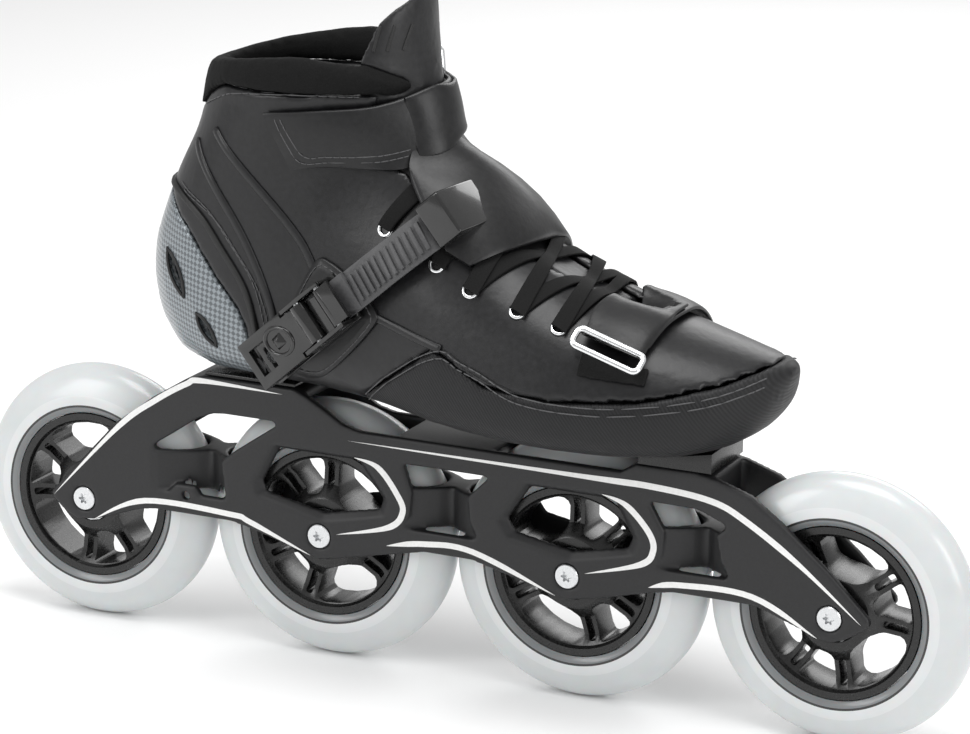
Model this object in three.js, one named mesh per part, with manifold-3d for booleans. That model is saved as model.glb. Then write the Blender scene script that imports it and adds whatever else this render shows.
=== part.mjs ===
// Four-wheel inline speed skate for the right foot, in millimetres, +Z up, toe towards +X.
// The rows of points below are measured from the rear axle. The finished group is moved so that
// its origin is on the floor, midway between the end axles and midway across the skate's width.
import * as THREE from "three";
import { mergeVertices } from "three/addons/utils/BufferGeometryUtils.js";
import Module from "manifold-3d";

const wasm = await Module();
wasm.setup();

// ---- driving dimensions -------------------------------------------------------------------
const WHEELBASE = 335; // first axle to last axle
const WHEEL_COUNT = 4;
const WHEEL_RADIUS = 55; // 110 mm wheels, the largest that this frame takes
const WHEEL_HALF_WIDTH = 12;
const RIM_RADIUS = 35.6; // hub rim, where the urethane tyre begins
const SPOKE_PAIRS = 3;
const SPOKE_SPREAD = 22; // degrees from the middle of a pair to each of its two spokes
const HUB_TURN = [45, 110, 68, 16]; // how far each wheel has rolled, in degrees
const AXLE_RADIUS = 4; // 8 mm axles
const BEARING_RADIUS = 11; // 22 x 8 x 7 mm ball bearings
const BEARING_WIDTH = 7;
const PLATE_OUTSIDE = 17.7; // outer face of each side plate, from the wheels' plane
const PLATE_INSIDE = 14;
const TYRE_CLEARANCE = 1.6;
const REAR_DECK_TOP = 116.5;
const FRONT_DECK_TOP = 106.3;
const REAR_BOLT_X = 78;
const FRONT_BOLT_X = 269;
const BOLT_RADIUS = 3; // M6 mounting bolts
const WALL = 3.4; // upper and shell thickness
const SOLE = 5; // thickness under the foot
const GAP = 0.3; // kept between pieces that touch
const SLACK = 0.35; // kept between a moving piece and the piece it runs beside
const RATCHET_ANGLE = 41; // rise of the instep ratchet towards the toe, in degrees
const WIDTH_OFFSET = 3.56; // the buckle stands out on one side, so the wheels' plane is off centre

const AXLE_PITCH = WHEELBASE / (WHEEL_COUNT - 1);
const rad = THREE.MathUtils.degToRad;

// ---- solids: three.js shapes, joined and cut with manifold-3d --------------------------------
function solid(geometry) {
  const bare = geometry.index ? geometry.toNonIndexed() : geometry.clone();
  bare.deleteAttribute("normal");
  bare.deleteAttribute("uv");
  const merged = mergeVertices(bare, 1e-3);
  return new wasm.Manifold(
    new wasm.Mesh({
      numProp: 3,
      vertProperties: merged.attributes.position.array,
      triVerts: new Uint32Array(merged.index.array),
    }),
  );
}

function meshOf(name, body, material) {
  const { vertProperties, triVerts } = body.getMesh();
  const geometry = new THREE.BufferGeometry();
  geometry.setAttribute("position", new THREE.BufferAttribute(vertProperties, 3));
  geometry.setIndex(new THREE.BufferAttribute(triVerts, 1));
  geometry.computeVertexNormals();
  const mesh = new THREE.Mesh(geometry, material);
  mesh.name = name;
  return mesh;
}

const join = (bodies) => bodies.reduce((all, one) => all.add(one));
const cut = (body, tools) => tools.reduce((left, tool) => left.subtract(tool), body);

// A side-view outline of [x, z] points, extruded across the skate from y0 to y1.
function prism(outline, y0 = -90, y1 = 90) {
  const shape = new THREE.Shape(outline.map(([x, z]) => new THREE.Vector2(x, z)));
  const geometry = new THREE.ExtrudeGeometry(shape, { depth: y1 - y0, bevelEnabled: false });
  geometry.translate(0, 0, -y1);
  geometry.rotateX(Math.PI / 2);
  return solid(geometry);
}

// A plan-view outline of [x, y] points, extruded upwards from z0 to z1.
function column(outline, z0, z1) {
  const shape = new THREE.Shape(outline.map(([x, y]) => new THREE.Vector2(x, y)));
  const geometry = new THREE.ExtrudeGeometry(shape, { depth: z1 - z0, bevelEnabled: false });
  geometry.translate(0, 0, z0);
  return solid(geometry);
}

function block([x0, x1], [y0, y1], [z0, z1]) {
  const geometry = new THREE.BoxGeometry(x1 - x0, y1 - y0, z1 - z0);
  geometry.translate((x0 + x1) / 2, (y0 + y1) / 2, (z0 + z1) / 2);
  return solid(geometry);
}

// A closed profile of [radius, y] points turned about the Y axis.
function turned(profile, segments) {
  const closed = [...profile, profile[0]];
  const area = closed.slice(1).reduce((sum, [r, y], i) => sum + closed[i][0] * y - r * closed[i][1], 0);
  const ordered = area > 0 ? closed : closed.reverse();
  const points = ordered.map(([r, y]) => new THREE.Vector2(r, y));
  return solid(new THREE.LatheGeometry(points, segments));
}

const ring = (inner, outer, y0, y1, segments = 16) =>
  turned([[inner, y0], [outer, y0], [outer, y1], [inner, y1]], segments);

function rod(radius, y0, y1, segments = 16) {
  const geometry = new THREE.CylinderGeometry(radius, radius, y1 - y0, segments);
  geometry.translate(0, (y0 + y1) / 2, 0);
  return solid(geometry);
}

// An upright cylinder at [x, y].
function post([x, y], radius, z0, z1, segments = 12) {
  const geometry = new THREE.CylinderGeometry(radius, radius, z1 - z0, segments);
  geometry.rotateX(Math.PI / 2);
  geometry.translate(x, y, (z0 + z1) / 2);
  return solid(geometry);
}

// A closed skin through rings that all have the same number of points.
function skin(rings) {
  const count = rings[0].length;
  const last = rings.length * count;
  const positions = rings.flat();
  const middle = (loop) => loop.reduce((sum, p) => sum.add(p), new THREE.Vector3()).divideScalar(count);
  positions.push(middle(rings[0]), middle(rings.at(-1)));
  const index = [];
  for (let i = 0; i < rings.length - 1; i += 1) {
    for (let j = 0; j < count; j += 1) {
      const a = i * count + j;
      const b = i * count + ((j + 1) % count);
      index.push(a, b, b + count, a, b + count, a + count);
    }
  }
  for (let j = 0; j < count; j += 1) {
    const next = (j + 1) % count;
    index.push(last, next, j);
    index.push(last + 1, last - count + j, last - count + next);
  }
  const geometry = new THREE.BufferGeometry().setFromPoints(positions);
  geometry.setIndex(index);
  const made = solid(geometry);
  if (made.volume() > 0) {
    return made;
  }
  geometry.setIndex(index.reverse());
  return solid(geometry);
}

// A window that narrows inwards: one outline at y0 and another, of as many points, at y1.
const funnel = (outlineA, y0, outlineB, y1) => {
  const loop = (outline, y) => outline.map(([x, z]) => new THREE.Vector3(x, y, z));
  return skin([loop(outlineA, y0), loop(outlineB, y1)]);
};

// ---- the boot's form -------------------------------------------------------------------------
// Each row is one slanted slice: its low point and its high point in side view, its half widths
// towards the outside and the inside of the foot, where it is widest, how square its low half
// is, and how far its middle leans inwards.
const SLICES = [
  { low: [309.5, 142], high: [310.5, 147], out: 5, in: 5, wide: 0.5, lowSquare: 2.2, lean: 6 },
  { low: [306, 131], high: [307, 149.5], out: 15, in: 15, wide: 0.5, lowSquare: 2.4, lean: 6 },
  { low: [299, 122], high: [300, 152], out: 25, in: 24, wide: 0.48, lowSquare: 2.8, lean: 5 },
  { low: [288, 116], high: [289, 155.5], out: 34, in: 31, wide: 0.46, lowSquare: 3.4, lean: 3.5 },
  { low: [272, 112.8], high: [272, 160.5], out: 41, in: 37, wide: 0.44, lowSquare: 4.2, lean: 2 },
  { low: [250, 112], high: [250, 167], out: 46.5, in: 42.5, wide: 0.42, lowSquare: 5, lean: 1 },
  { low: [225, 112], high: [225, 176.5], out: 49, in: 46, wide: 0.4, lowSquare: 5, lean: 0 },
  { low: [200, 112.3], high: [201, 188.5], out: 48.5, in: 45.5, wide: 0.39, lowSquare: 5, lean: 0 },
  { low: [172, 114], high: [183, 204], out: 46, in: 42.5, wide: 0.39, lowSquare: 4.5, lean: 0 },
  { low: [145, 117.5], high: [170, 219], out: 42, in: 38, wide: 0.4, lowSquare: 4, lean: 0 },
  { low: [115, 118.8], high: [165.5, 228], out: 38, in: 36, wide: 0.4, lowSquare: 3.6, lean: 0 },
  { low: [85, 118.8], high: [164, 235], out: 36, in: 35, wide: 0.42, lowSquare: 3.2, lean: 0 },
  { low: [60, 118.8], high: [163, 240], out: 35, in: 34.5, wide: 0.44, lowSquare: 2.8, lean: 0 },
  { low: [42, 123.5], high: [162, 243.5], out: 34.5, in: 34.5, wide: 0.46, lowSquare: 2.3, lean: 0 },
  { low: [31.5, 138], high: [161.3, 247], out: 34.5, in: 34.5, wide: 0.48, lowSquare: 2.1, lean: 0 },
  { low: [27.8, 154], high: [160.8, 250], out: 35, in: 35, wide: 0.48, lowSquare: 2, lean: 0 },
  { low: [28.9, 170], high: [160.3, 252.5], out: 35.5, in: 35.5, wide: 0.48, lowSquare: 2, lean: 0 },
  { low: [35, 187], high: [159.8, 255], out: 36.5, in: 36.5, wide: 0.48, lowSquare: 2, lean: 0 },
  { low: [41.5, 203], high: [159.3, 257], out: 37.5, in: 37.5, wide: 0.48, lowSquare: 2, lean: 0 },
  { low: [50, 219], high: [158.8, 259.5], out: 38.5, in: 38.5, wide: 0.48, lowSquare: 2, lean: 0 },
  { low: [56, 236], high: [158.3, 263], out: 39, in: 39, wide: 0.48, lowSquare: 2, lean: 0 },
  { low: [59, 252], high: [157.5, 268], out: 39.5, in: 39.5, wide: 0.48, lowSquare: 2, lean: 0 },
  { low: [63, 276], high: [156, 292], out: 39.5, in: 39.5, wide: 0.48, lowSquare: 2, lean: 0 },
];
const SLICE_POINTS = 20;
const HIGH_SQUARE = 2; // the high half of every slice is a plain half ellipse

// One slice as a ring of points, swollen by grow (or shrunk, where it is negative).
function sliceRing(slice, grow, lowGrow) {
  const low = new THREE.Vector2(...slice.low);
  const high = new THREE.Vector2(...slice.high);
  const rise = high.clone().sub(low).normalize();
  low.addScaledVector(rise, -lowGrow);
  high.addScaledVector(rise, grow);
  const height = high.distanceTo(low);
  const waist = low.clone().addScaledVector(rise, height * slice.wide);
  return Array.from({ length: SLICE_POINTS }, (_, k) => {
    const turn = (2 * Math.PI * k) / SLICE_POINTS;
    const up = Math.cos(turn);
    const side = Math.sin(turn);
    const power = 2 / (up < 0 ? slice.lowSquare : HIGH_SQUARE);
    const reach = height * (up < 0 ? slice.wide : 1 - slice.wide);
    const width = (side > 0 ? slice.in : slice.out) + grow;
    const along = Math.sign(up) * Math.abs(up) ** power * reach;
    const across = slice.lean + Math.sign(side) * Math.abs(side) ** power * width;
    const place = waist.clone().addScaledVector(rise, along);
    return new THREE.Vector3(place.x, across, place.y);
  });
}

// The whole boot as one solid, grown or shrunk. The inside is blunt, so it stops short of the toe.
const forms = new Map();
function form(grow, lowGrow = grow) {
  const key = `${grow} ${lowGrow}`;
  if (!forms.has(key)) {
    const used = grow < -2 ? SLICES.slice(1) : SLICES;
    forms.set(key, skin(used.map((slice) => sliceRing(slice, grow, lowGrow))));
  }
  return forms.get(key);
}

// A layer that lies on the boot between two heights above its surface.
const layer = (from, to) => form(to).subtract(form(from));

// ---- materials ---------------------------------------------------------------------------------
const finish = (color, roughness, metalness = 0) =>
  new THREE.MeshStandardMaterial({ color, roughness, metalness });
const urethane = finish(0xdfe4e4, 0.35);
const hubNylon = finish(0x161617, 0.35);
const steel = finish(0xc4c6c8, 0.25, 1);
const castMetal = finish(0x35363a, 0.6, 0.4);
const carbonCloth = finish(0x8d9aa2, 0.4, 0.2);
const leather = finish(0x2c2c2e, 0.5);
const randLeather = finish(0x333335, 0.65);
const padding = finish(0x1c1c1d, 0.85);
const webbing = finish(0x1a1a1b, 0.9);
const buckleNylon = finish(0x141414, 0.2);
const ladderNylon = finish(0x3d3d3f, 0.5);

// ---- wheels ------------------------------------------------------------------------------------
const TREAD = [[55, 0], [54.2, 3.9], [51.6, 7.5], [47, 10.4], [40, 12]];
const ROUND = 24; // facets round a wheel
const mirrored = (profile) => profile.slice(1).reverse().map(([r, y]) => [r, -y]);

function tyre() {
  const lip = [RIM_RADIUS + GAP, WHEEL_HALF_WIDTH - 1.8];
  const half = [...TREAD, lip];
  return turned([...half, ...mirrored(half)], ROUND);
}

function spoke(angle) {
  const bar = block([12, RIM_RADIUS - 1], [-6.5, 6.5], [-3.3, 3.3]);
  return bar.rotate([0, -angle, 0]);
}

function hub(turn) {
  const bore = BEARING_RADIUS + 0.2;
  const shelf = WHEEL_HALF_WIDTH - BEARING_WIDTH - 0.1;
  const core = turned(
    [[14.5, WHEEL_HALF_WIDTH], [14.5, -WHEEL_HALF_WIDTH], [bore, -WHEEL_HALF_WIDTH], [bore, -shelf],
      [6.5, -shelf], [6.5, shelf], [bore, shelf], [bore, WHEEL_HALF_WIDTH]],
    16,
  );
  const rim = ring(RIM_RADIUS - 3.6, RIM_RADIUS, -10, 10, ROUND);
  const spokes = Array.from({ length: SPOKE_PAIRS * 2 }, (_, k) => {
    const pair = (360 / SPOKE_PAIRS) * Math.floor(k / 2);
    return spoke(turn + pair + (k % 2 ? SPOKE_SPREAD : -SPOKE_SPREAD));
  });
  return join([core, rim, ...spokes]);
}

const bearing = (side) => {
  const near = WHEEL_HALF_WIDTH - BEARING_WIDTH;
  const [y0, y1] = side < 0 ? [-WHEEL_HALF_WIDTH, -near] : [near, WHEEL_HALF_WIDTH];
  return ring(AXLE_RADIUS + SLACK, BEARING_RADIUS - 0.1, y0, y1, 16);
};

const AXLE_HEAD_RADIUS = 5.1;
function axle() {
  const shank = rod(AXLE_RADIUS, -15.6, PLATE_OUTSIDE - 0.6);
  const head = rod(AXLE_HEAD_RADIUS, -PLATE_OUTSIDE + 0.2, -15.4);
  const key = rod(2.3, -PLATE_OUTSIDE - 1, -PLATE_OUTSIDE + 1.6, 6);
  return shank.add(head).subtract(key);
}

function wheelGroup(number) {
  const group = new THREE.Group();
  group.position.set(AXLE_PITCH * (number - 1), 0, WHEEL_RADIUS);
  const name = `wheel_${number}`;
  group.add(meshOf(`${name}_tyre`, tyre(), urethane));
  group.add(meshOf(`${name}_hub`, hub(HUB_TURN[number - 1]), hubNylon));
  group.add(meshOf(`${name}_bearing_outside`, bearing(-1), steel));
  group.add(meshOf(`${name}_bearing_inside`, bearing(1), steel));
  const spacerEnd = WHEEL_HALF_WIDTH - BEARING_WIDTH - GAP;
  group.add(meshOf(`${name}_spacer`, ring(AXLE_RADIUS + SLACK, 5.8, -spacerEnd, spacerEnd, 12), steel));
  group.add(meshOf(`${name}_axle`, axle(), steel));
  return group;
}

// ---- frame ---------------------------------------------------------------------------------------
const PLATE_OUTLINE = [
  [-16, 56], [16, 91], [34, 104.5], [49.5, 114.2], [57, REAR_DECK_TOP], [100, REAR_DECK_TOP], [106, 114],
  [115, 109], [122.5, 104.5], [130, 102.6], [246, 102.5], [252, FRONT_DECK_TOP], [278, FRONT_DECK_TOP],
  [286, 104.8], [301, 99.8], [314, 90.5], [335, 73], [351, 57.5], [352, 55], [350, 52.5], [341.3, 46.9],
  [335, 45], [331.3, 46], [303.8, 55.5], [270, 55.5], [260, 53.8], [240, 48.5], [223.3, 45], [219.4, 46],
  [181, 55.5], [160, 55.5], [155, 54.4], [118.8, 46.3], [111.7, 45], [108.8, 46], [78.8, 53.8], [70, 55.5],
  [35, 55.5], [27.5, 54.4], [5, 46.5], [-3.8, 45.6], [-10.6, 49.4], [-15, 53.8],
];
// Where the plates are scooped away between the wheels, above the lower rail.
const REAR_SCOOP = [
  [34, 83.8], [42.5, 89.4], [55, 98], [62, 100.8], [68, 101.5], [90, 101.5], [93, 100.6], [72.5, 86.3],
  [66, 81], [68, 64.3], [56, 64.3], [53.5, 68], [44.5, 68], [41, 64.3], [33, 64.3],
];
const MIDDLE_SCOOP = [
  [150, 91.8], [154, 80], [153, 70], [148, 64.3], [184, 64.3], [180, 72], [179, 82], [188.8, 91.8],
];
const FRONT_SCOOP = [
  [258, 91.8], [265, 80], [264, 70], [259, 64.3], [293, 64.3], [289, 72], [287, 82], [291.9, 86.3],
  [278.8, 91.3],
];
// The two windows, and their wider outer edges where the plate is bevelled.
const WINDOW_2 = [[92.5, 90], [85, 75], [86.3, 70.6], [113.8, 65.3], [138.8, 70.6], [140, 75], [128.8, 89.7]];
const WINDOW_2_EDGE = [
  [90, 92], [80.5, 74.5], [81, 68.6], [113.8, 60.6], [143, 67.5], [145, 75], [131.5, 92],
];
const WINDOW_3 = [
  [206.3, 90], [196.5, 75], [200, 70], [225, 65.6], [248.8, 70.6], [250.6, 75], [242.5, 89.7],
];
const WINDOW_3_EDGE = [
  [203.8, 92], [191.8, 74.5], [196, 66.8], [224.5, 60.6], [253, 67.5], [255.6, 75], [245, 92],
];

const wheelPlaces = Array.from({ length: WHEEL_COUNT }, (_, i) => i * AXLE_PITCH);
const atWheels = (body) => wheelPlaces.map((x) => body.translate([x, 0, WHEEL_RADIUS]));

function sidePlate(side) {
  const [y0, y1] = side < 0 ? [-PLATE_OUTSIDE, -PLATE_INSIDE] : [PLATE_INSIDE, PLATE_OUTSIDE];
  const scoops = [REAR_SCOOP, MIDDLE_SCOOP, FRONT_SCOOP].map((outline) => prism(outline));
  const face = side * (PLATE_OUTSIDE + 0.5);
  const floor = side * (PLATE_OUTSIDE - 2.6);
  const bevels = [funnel(WINDOW_2_EDGE, face, WINDOW_2, floor), funnel(WINDOW_3_EDGE, face, WINDOW_3, floor)];
  return cut(prism(PLATE_OUTLINE, y0, y1), [...scoops, prism(WINDOW_2), prism(WINDOW_3), ...bevels]);
}

// The wall that curves in round the tyres between two wheels, waisted in plan.
const WAIST_HALF = 5.5;
const WAIST_STEPS = [0.05, 0.25, 0.5, 0.8, 1, 1.15];
function waist(middle, reach, top) {
  const edge = PLATE_OUTSIDE - 0.4;
  const width = (t) => WAIST_HALF + (edge - WAIST_HALF) * Math.min(t, 1) ** 0.7;
  const steps = [...[...WAIST_STEPS].reverse().map((t) => -t), ...WAIST_STEPS];
  const near = steps.map((t) => [middle + t * reach, -width(Math.abs(t))]);
  const far = [...steps].reverse().map((t) => [middle + t * reach, width(Math.abs(t))]);
  return column([...near, ...far], 64, top);
}

const SIDE = [-PLATE_INSIDE - 1, PLATE_INSIDE + 1];
const BOSS_RADIUS = 7; // the bosses that stand in from the plates to the bearings
function frame() {
  const rearDeck = prism([[45, 106], [57, 111], [104, 111], [104, 114.9], [100, REAR_DECK_TOP],
    [57, REAR_DECK_TOP], [49.5, 114.2], [45, 111.4]], ...SIDE);
  const frontDeck = prism([[246, 92], [246, 102.5], [252, FRONT_DECK_TOP], [278, FRONT_DECK_TOP],
    [285, 105], [285, 91.5]], ...SIDE);
  const railBridge = prism([[152, 92], [183, 92], [190, 102.5], [145, 102.5]], ...SIDE);
  const waists = [waist(55.8, 20, 81.5), waist(167.5, 17.5, 81.5), waist(279.2, 17.5, 81)];
  const tyreRoom = TREAD.map(([r, y]) => [r + TYRE_CLEARANCE, y * 1.13]);
  const room = turned([...tyreRoom, [30, 14], [30, -14], ...mirrored(tyreRoom)], ROUND);
  const shell = cut(
    join([sidePlate(-1), sidePlate(1), rearDeck, frontDeck, railBridge, ...waists]),
    atWheels(room),
  );
  const seat = WHEEL_HALF_WIDTH + GAP;
  const bosses = [rod(BOSS_RADIUS, SIDE[0], -seat), rod(BOSS_RADIUS, seat, SIDE[1])];
  const shank = rod(AXLE_RADIUS + GAP, -20, 20);
  const head = rod(AXLE_HEAD_RADIUS + GAP, -20, -15.1);
  const withBosses = join([shell, ...bosses.flatMap(atWheels)]);
  const boltHoles = [
    post([REAR_BOLT_X, 0], BOLT_RADIUS + 0.4, 100, 125),
    post([FRONT_BOLT_X, 0], BOLT_RADIUS + 0.4, 80, 125),
    post([FRONT_BOLT_X, 0], 7, 80, 100),
    rod(2, -20, 20, 12).translate([49, 0, 63.4]),
  ];
  return cut(withBosses, [...atWheels(shank), ...atWheels(head), ...boltHoles]);
}

function mountBolt(x, headBottom, tip) {
  const head = post([x, 0], 5.5, headBottom, headBottom + 4);
  const key = post([x, 0], 2.4, headBottom - 1, headBottom + 2, 6);
  return head.add(post([x, 0], BOLT_RADIUS, headBottom + 3, tip)).subtract(key);
}

function mountWasher(x, z) {
  const hole = post([x, 0], BOLT_RADIUS + 0.4, z - 1, z + 2);
  return post([x, 0], 6.3, z, z + 1).subtract(hole);
}

// The blocks between the frame's decks and the boot, each with its bolt's hole.
function mountBlocks() {
  const rear = block([58, 100], [-16, 16], [REAR_DECK_TOP + GAP, 118.4]);
  const front = prism([[253, FRONT_DECK_TOP + GAP], [284, FRONT_DECK_TOP + GAP], [284, 114.6], [272, 112.3],
    [253, 111.6]], -17, 17);
  const hole = (x) => post([x, 0], BOLT_RADIUS + 0.4, 100, 125);
  return [rear.subtract(hole(REAR_BOLT_X)), front.subtract(hole(FRONT_BOLT_X))];
}

function frameGroup() {
  const group = new THREE.Group();
  const rearWasher = 111 - GAP - 1;
  const frontWasher = 100 - GAP - 1;
  const [rearBlock, frontBlock] = mountBlocks();
  group.add(meshOf("frame", frame(), castMetal));
  group.add(meshOf("rear_mount_block", rearBlock, hubNylon));
  group.add(meshOf("front_mount_block", frontBlock, hubNylon));
  group.add(meshOf("rear_mount_bolt", mountBolt(REAR_BOLT_X, rearWasher - GAP - 4, 121), steel));
  group.add(meshOf("rear_mount_washer", mountWasher(REAR_BOLT_X, rearWasher), steel));
  group.add(meshOf("front_mount_bolt", mountBolt(FRONT_BOLT_X, frontWasher - GAP - 4, 115), steel));
  group.add(meshOf("front_mount_washer", mountWasher(FRONT_BOLT_X, frontWasher), steel));
  return group;
}

// ---- boot ------------------------------------------------------------------------------------------
// Side-view outlines that share the boot out between its pieces.
const HEEL_CUP = [[0, 198], [36, 197], [43, 194.5], [57, 182], [67, 169], [77, 157], [83, 150], [86, 142],
  [87, 128], [87, 100], [0, 100]];
const RAND = [[138, 100], [140, 123], [176, 150], [187, 144.5], [198, 138.5], [230, 136], [262, 138.5],
  [290, 145], [318, 155], [340, 155], [340, 100]];
const BELOW_COLLAR = [
  [0, 90], [0, 230], [58, 231], [66, 239], [76, 244], [200, 245.5], [345, 245.5], [345, 90],
];
const COLLAR = [[30, 231], [58, 232], [66, 240], [76, 245], [150, 246.4], [150, 248], [137, 255], [125, 259],
  [107, 259.5], [75, 254.5], [60, 250], [30, 243]];
// The lacing gap, in plan: wide round the ankle, closing to a point over the toes.
const THROAT = [[130, -24], [172, -23], [190, -15], [215, -11], [245, -8], [256, -4], [256, 4], [245, 8],
  [215, 11], [190, 15], [172, 23], [130, 24]];
const TONGUE_PLAN = [
  [128, -30], [172, -28], [200, -19], [240, -14], [240, 14], [200, 19], [172, 28], [128, 30],
];

const grown = (outline, dx, dz) => outline.map(([x, z]) => [x + dx, z + dz]);

function bootWalls() {
  const boltHoles = [
    post([REAR_BOLT_X, 0], BOLT_RADIUS + 0.4, 100, 122),
    post([FRONT_BOLT_X, 0], BOLT_RADIUS + 0.4, 100, 116),
  ];
  const inside = form(-WALL, -SOLE);
  const throat = column(THROAT, 150, 300);
  const cup = cut(form(0).intersect(prism(HEEL_CUP)), [inside, ...boltHoles]);
  const rand = cut(form(1.2, 0).intersect(prism(RAND)), [inside, ...boltHoles]);
  const upper = cut(form(0).intersect(prism(BELOW_COLLAR)), [
    inside,
    throat,
    prism(grown(HEEL_CUP, GAP, GAP)),
    prism(grown(RAND, -GAP, GAP)),
  ]);
  return { cup, rand, upper };
}

const collarPad = () => form(1.6).subtract(form(-6)).intersect(prism(COLLAR));

function tongue() {
  const room = column(TONGUE_PLAN, 150, 300);
  const top = prism([[130, 150], [134, 262], [140, 276], [150, 285], [175, 288], [260, 200], [260, 150]]);
  const whole = form(-WALL - 0.4).subtract(form(-WALL - 5)).intersect(room).intersect(top);
  const collarRoom = form(2).subtract(form(-6.4)).intersect(prism(grown(COLLAR, 0, GAP)));
  return cut(whole, [collarRoom, collarRoom.translate([0, 0, -2 * GAP])]);
}

function footbed() {
  const inner = form(-WALL - 0.6, -SOLE - GAP);
  const lifted = inner.translate([0, 0, 3.5]);
  const low = prism([[48, 110], [48, 131], [100, 128], [150, 126.5], [200, 121.5], [262, 121.5], [286, 125.5],
    [286, 110]]);
  return inner.subtract(lifted).intersect(low);
}

// Flat laces that cross the tongue under the straps.
function laces() {
  const bars = [[186, 4], [206, 4], [226, 4], [244, 3.4]].map(([x, half]) =>
    prism([[x - half, 140], [x + half, 140], [x + half + 6, 230], [x - half + 6, 230]], -17, 17));
  const spine = prism([[184, 150], [248, 150], [248, 190], [188, 215]], -2.4, 2.4);
  return layer(0.1, 1.6).intersect(join([...bars, spine]));
}

// ---- ratchet strap over the instep ---------------------------------------------------------------
// The buckle has axes of its own: s along the ratchet towards the instep, t across it, n outwards.
const BUCKLE_PLACE = new THREE.Vector3(118, -39.6, 150);
const BUCKLE_YAW = 0.104; // how much the boot widens per mm along the ratchet
const BUCKLE_ROLL = 0.07; // and across it
const CHANNEL_HALF = 8.2; // half the ladder's width
const BUCKLE_HALF = 10.5;
const LEVER_PIN = [8, 8.2]; // s and n of the two pins
const PAWL_PIN = [20, 7.4];
const PIN_RADIUS = 1.5;
const LADDER_LIFT = 5.6; // how far the ladder runs above the boot
const LADDER_THICK = 2.2;
const TOOTH_PITCH = 3.2;
const TOOTH_COUNT = 12;
const BUCKLE_PATCH = [
  [97, 131], [99, 139], [119, 178], [125, 178], [149, 161], [149, 155], [122, 128], [112, 127],
];

// A rectangle along the ratchet, as a side-view outline: s from s0 to s1, t from t0 to t1.
function slanted([s0, s1], [t0, t1]) {
  const along = [Math.cos(rad(RATCHET_ANGLE)), Math.sin(rad(RATCHET_ANGLE))];
  const corner = (s, t) => [
    BUCKLE_PLACE.x + s * along[0] - t * along[1],
    BUCKLE_PLACE.z + s * along[1] + t * along[0],
  ];
  return [corner(s0, t0), corner(s1, t0), corner(s1, t1), corner(s0, t1)];
}

function buckleMatrix() {
  const angle = rad(RATCHET_ANGLE);
  const along = new THREE.Vector3(Math.cos(angle), -BUCKLE_YAW, Math.sin(angle)).normalize();
  const across = new THREE.Vector3(-Math.sin(angle), BUCKLE_ROLL, Math.cos(angle));
  across.addScaledVector(along, -across.dot(along)).normalize();
  const out = along.clone().cross(across);
  return new THREE.Matrix4().makeBasis(along, across, out).setPosition(BUCKLE_PLACE);
}

// Places a body that was made in the buckle's own axes.
const onBuckle = (body) => body.transform(buckleMatrix().elements);
const crossPin = ([s, n], radius, half) => rod(radius, -half, half).translate([s, 0, n]);

function buckleBase() {
  const floor = block([-26, 26], [-BUCKLE_HALF, BUCKLE_HALF], [0, 1.5]);
  const wall = (side) => block([1, 24], [side * 9, side * BUCKLE_HALF].sort((a, b) => a - b), [0, 11.5]);
  const holes = [LEVER_PIN, PAWL_PIN].map((pin) => crossPin(pin, PIN_RADIUS + GAP, 20));
  const rivetHole = post([-20, 0], 1.9, -1, 3);
  return cut(join([floor, wall(-1), wall(1)]), [...holes, rivetHole]);
}

function buckleLever() {
  const pivot = crossPin(LEVER_PIN, 3.7, 8.3);
  const arm = block([-14, LEVER_PIN[0]], [-8.3, 8.3], [6.4, 10.4]);
  const loop = block([-27, -1], [-BUCKLE_HALF, BUCKLE_HALF], [6.4, 10.4]);
  const finger = block([-23.5, -14.5], [-6, 6], [5, 12]);
  return cut(join([pivot, arm, loop]), [finger, crossPin(LEVER_PIN, PIN_RADIUS + SLACK, 20)]);
}

function bucklePawl() {
  const pivot = crossPin(PAWL_PIN, 2.6, 8.3);
  const nose = block([12.6, PAWL_PIN[0]], [-8.3, 8.3], [5.2, 8]);
  const tab = block([PAWL_PIN[0], 27], [-8.3, 8.3], [7.6, 9.8]);
  return cut(join([pivot, nose, tab]), [crossPin(PAWL_PIN, PIN_RADIUS + SLACK, 20)]);
}

function ladder() {
  const inside = onBuckle(block([-10, 31], [-CHANNEL_HALF, CHANNEL_HALF], [1.8, 1.8 + LADDER_THICK]));
  const across = [-CHANNEL_HALF, CHANNEL_HALF];
  const top = LADDER_LIFT + LADDER_THICK;
  const strip = layer(LADDER_LIFT, top).intersect(prism(slanted([26.5, 72], across), -70, -12));
  const ribs = Array.from({ length: TOOTH_COUNT }, (_, k) => {
    const s = 32 + k * TOOTH_PITCH;
    return prism(slanted([s, s + TOOTH_PITCH / 2], [-5.8, 5.8]), -70, -12);
  });
  const teeth = layer(top - 0.2, top + 1.2).intersect(join(ribs));
  return join([inside, strip, teeth]);
}

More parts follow.
